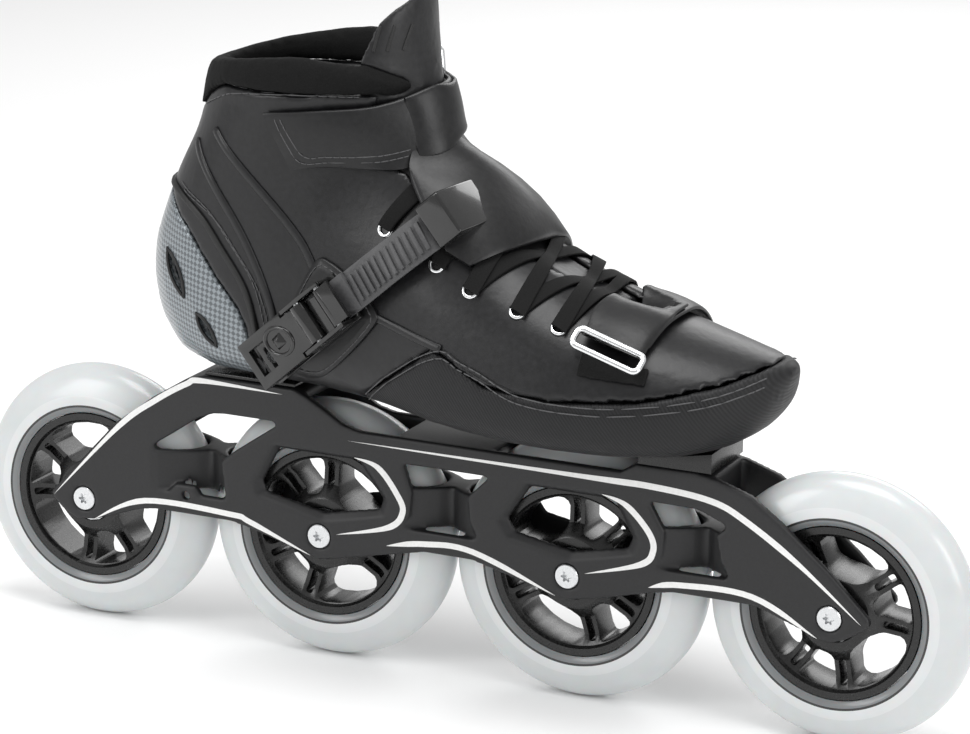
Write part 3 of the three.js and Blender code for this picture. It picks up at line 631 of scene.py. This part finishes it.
def woven(name, light, dark, thread):
    """A basket weave of flat tows: squares that run one way or the other, with rounded tops; their light and
    dark colours are painted sheen.
    """
    made, nodes, links, shader = new_material(name, 0.34, Coat_Weight=0.6, Metallic=0.35)
    shader.inputs["Coat Roughness"].default_value = 0.12
    wrap = nodes.new("ShaderNodeAttribute")
    wrap.attribute_name = "wrap"
    turn = nodes.new("ShaderNodeMapping")
    turn.inputs["Rotation"].default_value = (0, 0, math.radians(38))
    turn.inputs["Scale"].default_value = (1 / thread, 1 / thread, 1)
    squares = nodes.new("ShaderNodeTexChecker")
    squares.inputs["Scale"].default_value = 1
    # Color1 and Color2 are the same tows, lit and shaded: a painted sheen.
    squares.inputs["Color1"].default_value = (*light, 1)
    squares.inputs["Color2"].default_value = (*dark, 1)
    split = nodes.new("ShaderNodeSeparateXYZ")
    links.new(wrap.outputs["Vector"], turn.inputs["Vector"])
    links.new(turn.outputs["Vector"], squares.inputs["Vector"])
    links.new(turn.outputs["Vector"], split.inputs["Vector"])
    rounds = []
    for axis in ("X", "Y"):
        wave = nodes.new("ShaderNodeMath")
        wave.operation = "PINGPONG"
        wave.inputs[1].default_value = 0.5
        links.new(split.outputs[axis], wave.inputs[0])
        rounds.append(wave)
    height = nodes.new("ShaderNodeMix")
    links.new(squares.outputs["Fac"], height.inputs["Factor"])
    links.new(rounds[0].outputs[0], height.inputs[2])
    links.new(rounds[1].outputs[0], height.inputs[3])
    bump = nodes.new("ShaderNodeBump")
    bump.inputs["Distance"].default_value = 0.0003
    bump.inputs["Strength"].default_value = 0.7
    links.new(height.outputs[0], bump.inputs["Height"])
    links.new(squares.outputs["Color"], shader.inputs["Base Color"])
    links.new(bump.outputs["Normal"], shader.inputs["Normal"])
    return made


def lens(x0, z0, x1, z1, width):
    """A pointed slot between two places, widest in its middle."""
    dx, dz = x1 - x0, z1 - z0
    size = math.hypot(dx, dz)
    sides = []
    for sign in (1, -1):
        row = []
        for k in range(9):
            t = k / 8
            bow = sign * width / 2 * math.sin(math.pi * t) ** 0.8
            row.append((x0 + dx * t - dz / size * bow, z0 + dz * t + dx / size * bow))
        sides.append(row)
    return sides[0] + sides[1][-2:0:-1]


SLOTS = [(45, 171, 54, 152, 6.5), (61, 146.5, 70, 133.5, 5.5)]
cup = soft_copy("heel_cup", "heel_cup_shell", 1.3, 3)
for slot in SLOTS:
    cut_by(cup, [plate("slot", lens(*slot), -60, 60)])
store_wrap(cup, 62, 36)
cup.data.polygons.foreach_set("use_smooth", [True] * len(cup.data.polygons))
# The light grey and dark colours are painted sheen on the weave's two tow directions.
fibre = woven("woven fibre", (0.24, 0.27, 0.29), (0.085, 0.098, 0.108), 1.7)
put(cup, fibre, "root", "carbon_cloth", "heel_cup")


def closed_shape(name, points, faces):
    """A piece made from its points and faces, with its faces turned outwards."""
    data = bpy.data.meshes.new(name)
    data.from_pydata(points, [], faces)
    piece = placed(name, data)
    edit(piece)
    bpy.ops.mesh.normals_make_consistent(inside=False)
    bpy.ops.object.mode_set(mode="OBJECT")
    return piece


def swept(name, places, normals, width, thick, round_points=8, closed=False):
    """A strip or cord along places on a surface, of a rounded section: width across, thick out."""
    rings = []
    count = len(places)
    for k in range(count):
        ahead = places[(k + 1) % count] if closed else places[min(k + 1, count - 1)]
        behind = places[k - 1] if closed or k else places[0]
        along = (ahead - behind).normalized()
        out = (normals[k] - along * normals[k].dot(along)).normalized()
        across = along.cross(out)
        ring = []
        for j in range(round_points):
            turn = 2 * math.pi * (j + 0.5) / round_points
            c, s = math.cos(turn), math.sin(turn)
            flat = math.copysign(abs(c) ** 0.55, c) * width / 2
            high = math.copysign(abs(s) ** 0.8, s) * thick / 2
            ring.append(places[k] + across * flat * MM + out * high * MM)
        rings.append(ring)
    points = [p for ring in rings for p in ring]
    faces = []
    for k in range(count if closed else count - 1):
        for j in range(round_points):
            a, b = k * round_points + j, k * round_points + (j + 1) % round_points
            c = ((k + 1) % count) * round_points + (j + 1) % round_points
            d = ((k + 1) % count) * round_points + j
            faces.append((a, b, c, d))
    if not closed:
        faces.append(tuple(range(round_points))[::-1])
        faces.append(tuple((count - 1) * round_points + j for j in range(round_points)))
    piece = closed_shape(name, points, faces)
    bpy.ops.object.shade_smooth()
    return piece


def laid(surface, outline, side, lift, steps=10):
    """A smooth route laid on one side of a surface, lifted off it by lift."""
    places, normals = [], []
    for x, z in rounded_route(outline, steps):
        place, normal = on_side(surface, x, z, side)
        if place is not None:
            places.append(place + normal * lift * MM)
            normals.append(normal)
    return places, normals


matte_black = grained("black binding", (0.004, 0.004, 0.004), (0.009, 0.009, 0.009), 0.55, 800, 0.00008)
PIPING = [
    (31, 196.5), (48, 197), (64.6, 188.8), (75.6, 175.9), (86.4, 160.7), (91.3, 144.5), (91, 132), (88, 122),
]
for side, where in ((-1, "outside"), (1, "inside")):
    places, normals = laid(last_surface, PIPING, side, 0.4)
    put(swept(f"heel_piping_{where}", places, normals, 2.6, 2.2), matte_black, "root", "leather")
    for number, slot in enumerate(SLOTS, 1):
        ring = lens(*slot)
        rim = [on_side(last_surface, x, z, side) for x, z in ring]
        places, normals = [p + n * 0.2 * MM for p, n in rim], [n for _, n in rim]
        piece = swept(f"slot_rim_{number}_{where}", places, normals, 1.5, 1.4, 6, closed=True)
        put(piece, matte_black, "root", "leather")

# ---- rand ------------------------------------------------------------------------------------
# The rand is a finely ribbed, hard-wearing leather band cemented round the toe and midfoot. Its
# upper edge is held by two rows of stitches.
def ribbed(name):
    made, nodes, links, shader = new_material(name, 0.55, Specular_IOR_Level=0.35)
    place = nodes.new("ShaderNodeTexCoord")
    turn = nodes.new("ShaderNodeMapping")
    turn.inputs["Rotation"].default_value = (0, math.radians(35), 0)
    ribs = nodes.new("ShaderNodeTexWave")
    ribs.inputs["Scale"].default_value = 260
    ribs.inputs["Distortion"].default_value = 0.6
    # The rib colour follows the rib height: the grooves are darker than the crests, a painted shade in the
    # grooves.
    tint = nodes.new("ShaderNodeValToRGB")
    tint.color_ramp.elements[0].color = (0.005, 0.005, 0.0055, 1)
    tint.color_ramp.elements[1].color = (0.012, 0.012, 0.013, 1)
    bump = nodes.new("ShaderNodeBump")
    bump.inputs["Distance"].default_value = 0.0002
    bump.inputs["Strength"].default_value = 0.5
    links.new(place.outputs["Object"], turn.inputs["Vector"])
    links.new(turn.outputs["Vector"], ribs.inputs["Vector"])
    links.new(ribs.outputs["Fac"], tint.inputs["Fac"])
    links.new(ribs.outputs["Fac"], bump.inputs["Height"])
    links.new(tint.outputs["Color"], shader.inputs["Base Color"])
    links.new(bump.outputs["Normal"], shader.inputs["Normal"])
    return made


rand = soft_copy("rand", "toe_rand", 1.4, 3)
put(rand, ribbed("ribbed leather"), "root", "rand_leather", "rand")


def sewn(name, surface, outline, side, stitch=2.4, gap=1.1, thread=0.55, lift=0.25):
    """A row of stitches laid along an outline, as one piece of many short threads."""
    places, normals = laid(surface, outline, side, lift, 14)
    points, faces = [], []
    travelled, start = 0.0, None
    for k in range(1, len(places)):
        travelled += (places[k] - places[k - 1]).length / MM
        phase = travelled % (stitch + gap)
        if start is None and phase < stitch:
            start = k - 1
        if start is not None and (phase >= stitch or k == len(places) - 1) and k > start:
            add_thread(points, faces, places[start], places[k], normals[k], thread)
            start = None
    piece = closed_shape(name, points, faces)
    bpy.ops.object.shade_smooth()
    return piece


def add_thread(points, faces, a, b, out, thread):
    """One stitch: a six-sided thread whose ends go down into the leather."""
    along = (b - a).normalized()
    across = along.cross(out).normalized()
    first = len(points)
    for share, sink, size in ((0, 0.5, 0.6), (0.2, 0, 1), (0.8, 0, 1), (1, 0.5, 0.6)):
        middle = a.lerp(b, share) - out * sink * thread * MM
        for j in range(6):
            turn = math.pi * j / 3
            spread = across * math.cos(turn) + out * math.sin(turn)
            points.append(middle + spread * (thread * size / 2 * MM))
    for k in range(3):
        for j in range(6):
            low = first + k * 6
            faces.append((low + j, low + (j + 1) % 6, low + 6 + (j + 1) % 6, low + 6 + j))
    faces.append(tuple(first + j for j in range(6))[::-1])
    faces.append(tuple(first + 18 + j for j in range(6)))


thread_black = grained("bonded thread", (0.05, 0.05, 0.052), (0.09, 0.09, 0.092), 0.5, 2500, 0.00005)
RAND_SEAM = [
    (142, 126), (161, 141.3), (179, 151), (188, 148), (198, 144.7), (215.7, 137.9), (248.7, 136.6),
    (284.5, 141), (303, 147),
]
for side, where in ((-1, "outside"), (1, "inside")):
    for row, drop in (("upper", 0.8), ("lower", 3.6)):
        outline = [(x, z - drop) for x, z in RAND_SEAM]
        seam = sewn(f"rand_seam_{row}_{where}", last_surface, outline, side, lift=0.9)
        put(seam, thread_black, "root", "leather")

# ---- upper -----------------------------------------------------------------------------------
# The upper is smooth black leather over a moulded shell, with a wing panel behind the buckle. Two
# moulded ridges run from the cuff down to the sole, and dark stitching follows the collar.
def leather(name, dark, light, roughness):
    return grained(name, dark, light, roughness, 420, 0.00012, 0.1, Specular_IOR_Level=0.42)


smooth_leather = leather("smooth black leather", (0.005, 0.005, 0.0055), (0.010, 0.010, 0.011), 0.36)
upper = soft_copy("upper", "leather_upper", 1.5, 3)
put(upper, smooth_leather, "root", "leather", "upper")

RIDGES = {
    "front": [(72, 225), (94, 203), (111.5, 184.5), (126.5, 166.3), (160.8, 155.7), (180, 151)],
    "rear": [(60, 218), (74, 200), (86, 182), (96, 162), (101, 146), (101, 130)],
}
for label, outline in RIDGES.items():
    for side, where in ((-1, "outside"), (1, "inside")):
        places, normals = laid(last_surface, outline, side, 0.1)
        put(swept(f"ridge_{label}_{where}", places, normals, 3.6, 1.9, 10), smooth_leather, "root", "leather")
COLLAR_SEAM = [(62, 232.8), (74, 238.6), (85.3, 242), (113.2, 244.4), (135.4, 244.3)]
for side, where in ((-1, "outside"), (1, "inside")):
    put(sewn(f"collar_seam_{where}", last_surface, COLLAR_SEAM, side), thread_black, "root", "leather")
    for number, shift in enumerate((0, 2.6), 1):
        outline = [(x + 4 + shift, z + 3 - shift) for x, z in PIPING[1:8]]
        row = sewn(f"wing_seam_{number}_{where}", last_surface, outline, side)
        put(row, thread_black, "root", "leather")

# ---- collar, tongue and footbed --------------------------------------------------------------
# The collar is soft foam under matte cloth, the tongue is padded leather with three short slits,
# and the footbed is a thin foam sole that lies loose in the boot. The slits are not cut: each is a
# thin dark strip laid on the tongue, a painted shade for the slit.
lining = grained(
    "padded lining", (0.003, 0.003, 0.003), (0.008, 0.008, 0.008), 0.85, 1600, 0.0002, Specular_IOR_Level=0.2)
collar = soft_copy("collar_pad", "padded_collar", 1.2, 6, 0.9)
put(collar, lining, "root", "padding", "collar_pad")

tongue = soft_copy("tongue", "padded_tongue", 1.2, 8)
tongue_leather = leather("tongue leather", (0.006, 0.006, 0.0065), (0.012, 0.012, 0.013), 0.4)
put(tongue, tongue_leather, "root", "leather", "tongue")

# Dark strips on the tongue's outer side stand for its three slits: painted shade, not openings.
for number, x in enumerate((139, 143.5, 148), 1):
    places, normals = laid(last_surface, [(x, 262), (x + 1, 267), (x + 2, 272)], -1, 0.1)
    if len(places) > 2:
        put(swept(f"tongue_slit_shade_{number}", places, normals, 1.3, 0.7), matte_black, "root", "leather")

sole = remeshed(copy_of("footbed", "foam_footbed"), 1.2, 4)
put(sole, lining, "root", "padding", "footbed")

# ---- laces and eyelets -----------------------------------------------------------------------
# Flat woven polyester laces cross the tongue through bright eyelets that are set in pairs along
# both edges of the throat.
EYELETS = [(149.3, 193.2), (173.9, 182.5), (189.2, 174.2), (208.9, 167.9), (226, 163)]
chrome = grained("chrome", (0.80, 0.81, 0.82), (0.90, 0.91, 0.92), 0.10, 900, 0.000004, 0.05, Metallic=1.0)
lace_cloth = grained(
    "woven lace", (0.003, 0.003, 0.003), (0.009, 0.009, 0.009), 0.8, 2600, 0.0002, Specular_IOR_Level=0.2)


def eyelet(name, place, normal):
    bpy.ops.object.select_all(action="DESELECT")
    bpy.ops.mesh.primitive_torus_add(
        major_radius=2.7 * MM, minor_radius=0.8 * MM, major_segments=40, minor_segments=12)
    piece = bpy.context.object
    piece.name = name
    piece.data.transform(Matrix.Translation(place) @ normal.to_track_quat("Z", "Y").to_matrix().to_4x4())
    bpy.ops.object.shade_smooth()
    return piece


for row, (x, z) in enumerate(EYELETS, 1):
    for side, where in ((-1, "outside"), (1, "inside")):
        place, normal = on_side(last_surface, x, z, side)
        put(eyelet(f"eyelet_{row}_{where}", place + normal * 0.3 * MM, normal), chrome, "root", "chrome_wire")


def taut(rows, passes=25):
    """Smooths a grid of heights over its hollows, as a strap under tension bridges them."""
    given = [list(row) for row in rows]
    for _ in range(passes):
        last_rows = [list(row) for row in rows]
        for k in range(1, len(rows) - 1):
            for j in range(len(rows[0])):
                beside = last_rows[k][max(j - 1, 0)] + last_rows[k][min(j + 1, len(rows[0]) - 1)]
                mean = (last_rows[k - 1][j] + last_rows[k + 1][j] + beside) / 4
                rows[k][j] = max(given[k][j], mean)
    return rows


OUTSIDE = 0.16
NOTHING_MET = 0.03
RISE_FROM = 0.75
EDGE_ROUND = 0.05
EDGE_SHARES = (0, 0.015, 0.045, 0.1, 0.2, 0.35, 0.5, 0.65, 0.8, 0.9, 0.955, 0.985, 1)


def draped(name, stations, core, lift, thick, rise=0.0, steps=8):
    """A band laid over the boot. Each station gives the places of its two edges, as seen from a
    place inside the boot; the band lies lift above the skin and rises by rise at its far end."""
    middle = at(*core)
    route = rounded_route(stations, steps)
    aims = []
    for ax, ay, az, bx, by, bz in route:
        first, second = at(ax, ay, az), at(bx, by, bz)
        aims.append([(first.lerp(second, t) - middle).normalized() for t in EDGE_SHARES])
    reach = []
    for row in aims:
        hits = [last_surface.ray_cast(middle + aim * OUTSIDE, -aim)[0] for aim in row]
        reach.append([(hit - middle).length if hit else NOTHING_MET for hit in hits])
    reach = taut(reach)
    count, wide = len(aims), len(EDGE_SHARES)
    points = []
    for layer in (0, 1):
        for k, row in enumerate(aims):
            share = max(0, k / (count - 1) - RISE_FROM) / (1 - RISE_FROM)
            for j, aim in enumerate(row):
                inset = min(1, min(EDGE_SHARES[j], 1 - EDGE_SHARES[j]) / EDGE_ROUND)
                round_off = thick / 2 * (1 - math.sqrt(1 - (1 - inset) ** 2))
                height = lift + rise * share * share + (thick - round_off if layer else round_off)
                points.append(middle + aim * (reach[k][j] + height * MM))
    faces = []
    size = count * wide
    for k in range(count - 1):
        for j in range(wide - 1):
            a = k * wide + j
            faces.append((a, a + 1, a + wide + 1, a + wide))
            faces.append((size + a, size + a + wide, size + a + wide + 1, size + a + 1))
        for a in (k * wide, k * wide + wide - 1):
            faces.append((a, a + wide, size + a + wide, size + a))
    for j in range(wide - 1):
        for a in (j, (count - 1) * wide + j):
            faces.append((a, a + 1, size + a + 1, size + a))
    piece = closed_shape(name, points, faces)
    bpy.ops.object.shade_smooth_by_angle(angle=math.radians(50))
    return piece



LACE_HALF = 3.0
LACE_BOW = (12, 22)
UNDER_LACE = (8, 25)
LACE_THICK = 1.1


def lace(name, start, end, lift):
    """One flat lace from an eyelet on the outer side to one on the inner side."""
    near, far = on_side(last_surface, *start, -1)[0], on_side(last_surface, *end, 1)[0]
    zero = at(0, 0, 0)
    core = ((start[0] + end[0]) / 2 - UNDER_LACE[0], 0, (start[1] + end[1]) / 2 - UNDER_LACE[1])
    stations = []
    for t in (0, 0.18, 0.38, 0.5, 0.62, 0.82, 1):
        place = (near.lerp(far, t) - zero) / MM
        bow = math.sin(math.pi * t)
        x, z = place.x + LACE_BOW[0] * bow, place.z + LACE_BOW[1] * bow
        stations.append((x - LACE_HALF, place.y, z + 1, x + LACE_HALF, place.y, z - 2))
    return draped(name, stations, core, lift, LACE_THICK)


for row, (near, far) in enumerate(zip(EYELETS, EYELETS[1:]), 1):
    stands_for = ["laces"] if row == 1 else []
    put(lace(f"lace_cross_{row}_a", near, far, 0.5), lace_cloth, "root", "lace_webbing", *stands_for)
    put(lace(f"lace_cross_{row}_b", far, near, 1.5), lace_cloth, "root", "lace_webbing")
put(lace("lace_front", EYELETS[-1], EYELETS[-1], 0.5), lace_cloth, "root", "lace_webbing")

# ---- straps, patches and rings ---------------------------------------------------------------
# Leather straps cross the ankle and the toes. Each folds back through a chromed wire ring that a
# short webbing loop holds to the boot. Border stitching runs just inside the edges.
strap_leather = leather("strap leather", (0.004, 0.004, 0.0045), (0.008, 0.008, 0.0085), 0.38)
ANKLE_CORE = (120, 0, 233)
INSTEP_CORE = (165, 0, 165)
TOE_CORE = (250, 0, 130)
ANKLE_BAND = [
    (99, -38, 236, 109, -34, 214), (120, -36, 238.5, 124, -34, 214.5), (141, -27, 241, 146, -26, 216),
    (158, -14, 247, 162, -14, 219), (170, 0, 252, 172, 0, 224), (162, 16, 251, 166, 16, 226),
    (150, 28, 249, 152, 28, 227), (140, 36, 248, 140, 36, 227),
]
ANKLE_FOLD = [
    (151, -20, 244, 156, -19, 221), (160, -10, 248.5, 164, -10, 223), (170, 0, 250.5, 172, 0, 226),
    (162, 16, 249.5, 166, 16, 228), (150, 28, 248, 152, 28, 228), (141, 36, 247, 141, 36, 228),
]
INSTEP_BAND = [
    (177, -36, 187.5, 187, -35, 182.5), (165, -30, 200, 192, -23, 184), (155, -20, 215, 199, 2, 185),
    (163, 4, 220, 203, 14, 186), (160, 25, 212, 200, 27, 180), (163, 33, 200, 196, 34, 172),
]
TOE_BAND = [
    (236, -33, 167, 262, -30, 159), (238, -16, 175, 264, -14, 166), (239, 0, 178, 265, 0, 168),
    (240, 18, 174, 264, 18, 164), (240, 32, 160, 262, 32, 152), (240, 38, 146, 260, 38, 140),
]
TOE_FOLD = [
    (240, 5, 178, 264, 5, 168), (239, -6, 178, 264, -6, 168), (238, -16, 175, 264, -14, 166),
    (236.5, -26, 171, 263, -24, 162), (237, -34, 167, 262, -31, 158), (237, -41, 164, 262, -38, 155),
]
BANDS = (
    ("ankle_strap", "ankle_band", "root", ANKLE_BAND, ANKLE_CORE, 0.7, 2.3, 3.0),
    ("ankle_strap_flap", "ankle_flap_leather", "ankle_flap", ANKLE_FOLD, ANKLE_CORE, 3.3, 2.0, 3.0),
    ("instep_pad", "instep_leather", "root", INSTEP_BAND, INSTEP_CORE, 2.0, 3.0, 0.0),
    ("toe_strap", "toe_band", "root", TOE_BAND, TOE_CORE, 1.6, 1.8, 0.0),
    ("toe_strap_flap", "toe_flap_leather", "toe_flap", TOE_FOLD, TOE_CORE, 3.8, 1.8, 2.0),
)
band_surfaces = {}
for node, name, body, stations, core, lift, thick, rise in BANDS:
    band = draped(name, stations, core, lift, thick, rise)
    band_surfaces[node] = surface_of(band)
    put(band, strap_leather, body, "leather", node)
for node, name in (("ankle_ring_anchor", "ankle_anchor"), ("toe_ring_anchor", "toe_anchor")):
    put(soft_copy(node, name, 0.6, 2), lace_cloth, "root", "lace_webbing", node)


def shield(name, outline, surface, side, thick, sunk=0.4):
    """A patch of leather laid on one side, its edge rolled down to the skin."""
    ring = rounded_route(outline + outline[:1], 5)[:-1]
    centre = (sum(x for x, _ in ring) / len(ring), sum(z for _, z in ring) / len(ring))
    flat = [(share, thick) for share in (0.975, 0.8, 0.6, 0.4, 0.2)]
    levels = [(1.0, -sunk), (0.995, thick * 0.6)] + flat
    points = []
    for share, height in levels:
        for x, z in ring:
            inner_x, inner_z = centre[0] + (x - centre[0]) * share, centre[1] + (z - centre[1]) * share
            place, normal = on_side(surface, inner_x, inner_z, side)
            points.append(place + normal * height * MM)
    count = len(ring)
    faces = []
    for level in range(len(levels) - 1):
        for k in range(count):
            a, b = level * count + k, level * count + (k + 1) % count
            faces.append((a, b, b + count, a + count))
    faces.append(tuple(range((len(levels) - 1) * count, len(levels) * count)))
    faces.append(tuple(range(count))[::-1])
    piece = closed_shape(name, points, faces)
    bpy.ops.object.shade_smooth()
    return piece


SHIELD = [
    (99, 134), (101, 141), (110, 160), (119.5, 177), (125.5, 178), (138, 171), (149.5, 161), (148.5, 155),
    (135, 140), (122, 129.5), (110, 128.5),
]
SHIELD_MIDDLE = (124, 153)
SHIELD_BORDER = 0.9
patch = shield("buckle_shield", SHIELD, last_surface, -1, 2.0)
put(patch, strap_leather, "root", "leather", "buckle_patch")
patch_surface = surface_of(patch)
border = []
for x, z in SHIELD + SHIELD[:1]:
    border.append(tuple(m + (value - m) * SHIELD_BORDER for m, value in zip(SHIELD_MIDDLE, (x, z))))
put(sewn("border_shield", patch_surface, border, -1, 2.0, 1.0, 0.5, 0.15), thread_black, "root", "leather")
ANKLE_BORDER = [(103, 234), (111.5, 217.5), (124, 217.5), (143, 218.5), (154, 221)]
ankle_surface = band_surfaces["ankle_strap"]
for number, inset in enumerate((0, 2.4), 1):
    outline = []
    for k, (x, z) in enumerate(ANKLE_BORDER):
        outline.append((x + (inset if k < 2 else 0), z + (inset if k else 0)))
    row = sewn(f"border_ankle_{number}", ankle_surface, outline, -1, 2.0, 1.0, 0.5, 0.15)
    put(row, thread_black, "root", "leather")


def wire_ring(name, node):
    """A rounded rectangle of wire in the same plane as its node."""
    points = [v.co.copy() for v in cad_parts[node].data.vertices]
    middle = sum(points, Vector()) / len(points)
    spread = Matrix(((0, 0, 0),) * 3)
    for p in points:
        d = p - middle
        for i in range(3):
            for j in range(3):
                spread[i][j] += d[i] * d[j]
    along = Vector((1, 0.3, 0.2)).normalized()
    for _ in range(60):
        along = (spread @ along).normalized()
    rest = spread.copy()
    size = along.dot(spread @ along)
    for i in range(3):
        for j in range(3):
            rest[i][j] -= size * along[i] * along[j]
    across = Vector((0.2, 1, 0.7)).normalized()
    for _ in range(60):
        across = (rest @ across).normalized()
    out = along.cross(across).normalized()
    half = max(abs((p - middle).dot(along)) for p in points) - 0.0013
    half_high = max(abs((p - middle).dot(across)) for p in points) - 0.0013
    corner = 0.0025
    route = []
    for sx, sy, first in ((1, 1, 0), (-1, 1, 90), (-1, -1, 180), (1, -1, 270)):
        centre = middle + along * sx * (half - corner) + across * sy * (half_high - corner)
        for k in range(7):
            turn = math.radians(first + 15 * k)
            route.append(centre + (along * math.cos(turn) + across * math.sin(turn)) * corner)
    return swept(name, route, [out] * len(route), 2.6, 2.6, 12, closed=True)


for node, name in (("ankle_strap_ring", "ankle_ring"), ("toe_strap_ring", "toe_ring")):
    put(wire_ring(name, node), chrome, "root", "chrome_wire", node)

# ---- ratchet buckle --------------------------------------------------------------------------
# The buckle is moulded in glossy black nylon and riveted through its leather shield. A lever and
# a sprung pawl turn on steel pins, and the toothed ladder strap feeds through between the walls.
black, near_black = (0.006, 0.006, 0.006), (0.010, 0.010, 0.010)
gloss_nylon = grained("glossy nylon", black, near_black, 0.14, 500, 0.00001, 0.05, Coat_Weight=0.4)
HARD = (
    ("buckle_base", "ratchet_base", "root"), ("buckle_lever", "ratchet_lever", "buckle_lever"),
    ("buckle_pawl", "ratchet_pawl", "buckle_pawl"),
)
for node, name, body in HARD:
    put(edged_copy(node, name, 0.55, 3), gloss_nylon, body, "buckle_nylon", node)
ALONG = Vector((0.75066, -0.10344, 0.65254))
ACROSS = Vector((-0.64906, 0.06908, 0.75760))
axes = (ALONG, ACROSS, ALONG.cross(ACROSS))
clip_points = [v.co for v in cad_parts["ladder_clip"].data.vertices]
spans = [(min(p.dot(axis) for p in clip_points), max(p.dot(axis) for p in clip_points)) for axis in axes]
bpy.ops.object.select_all(action="DESELECT")
bpy.ops.mesh.primitive_cube_add(size=1)
clip = bpy.context.object
clip.name = "strap_clip"
middle = sum((axis * (low + high) / 2 for axis, (low, high) in zip(axes, spans)), Vector())
sizes = Matrix.Diagonal([high - low for low, high in spans] + [1])
clip.data.transform(Matrix.Translation(middle) @ Matrix(axes).transposed().to_4x4() @ sizes)
eased_edges(clip, 1.2, 4)
put(clip, gloss_nylon, "root", "buckle_nylon", "ladder_clip")

STUD = (110, 146)
lever_surface = surface_of(bpy.data.objects["ratchet_lever"])
stud_place, stud_normal = on_side(lever_surface, *STUD, -1)
turned_out = Matrix.Translation(stud_place) @ stud_normal.to_track_quat("Z", "Y").to_matrix().to_4x4()
bpy.ops.object.select_all(action="DESELECT")
bpy.ops.mesh.primitive_cone_add(vertices=4, radius1=4.0 * MM, radius2=0.8 * MM, depth=2.2 * MM)
stud = bpy.context.object
stud.name = "lever_stud"
stud.data.transform(turned_out @ Matrix.Translation((0, 0, 1.0 * MM)))
eased_edges(stud, 0.3, 2)
put(stud, gloss_nylon, "buckle_lever", "buckle_nylon")
bpy.ops.object.select_all(action="DESELECT")
bpy.ops.mesh.primitive_torus_add(
    major_radius=5.6 * MM, minor_radius=0.8 * MM, major_segments=40, minor_segments=12)
rim = bpy.context.object
rim.name = "lever_rim"
rim.data.transform(turned_out @ Matrix.Diagonal((1.2, 1, 1, 1)))
bpy.ops.object.shade_smooth()
put(rim, gloss_nylon, "buckle_lever", "buckle_nylon")

for node in ("buckle_lever_pin", "buckle_pawl_pin", "buckle_rivet"):
    coat(node, bright)
ladder_nylon = grained("matte nylon", (0.045, 0.045, 0.047), (0.065, 0.065, 0.067), 0.48, 1000, 0.00004)
toothed = edged_copy("ladder_strap", "toothed_strap", 0.25, 2)
put(toothed, ladder_nylon, "root", "ladder_nylon", "ladder_strap")
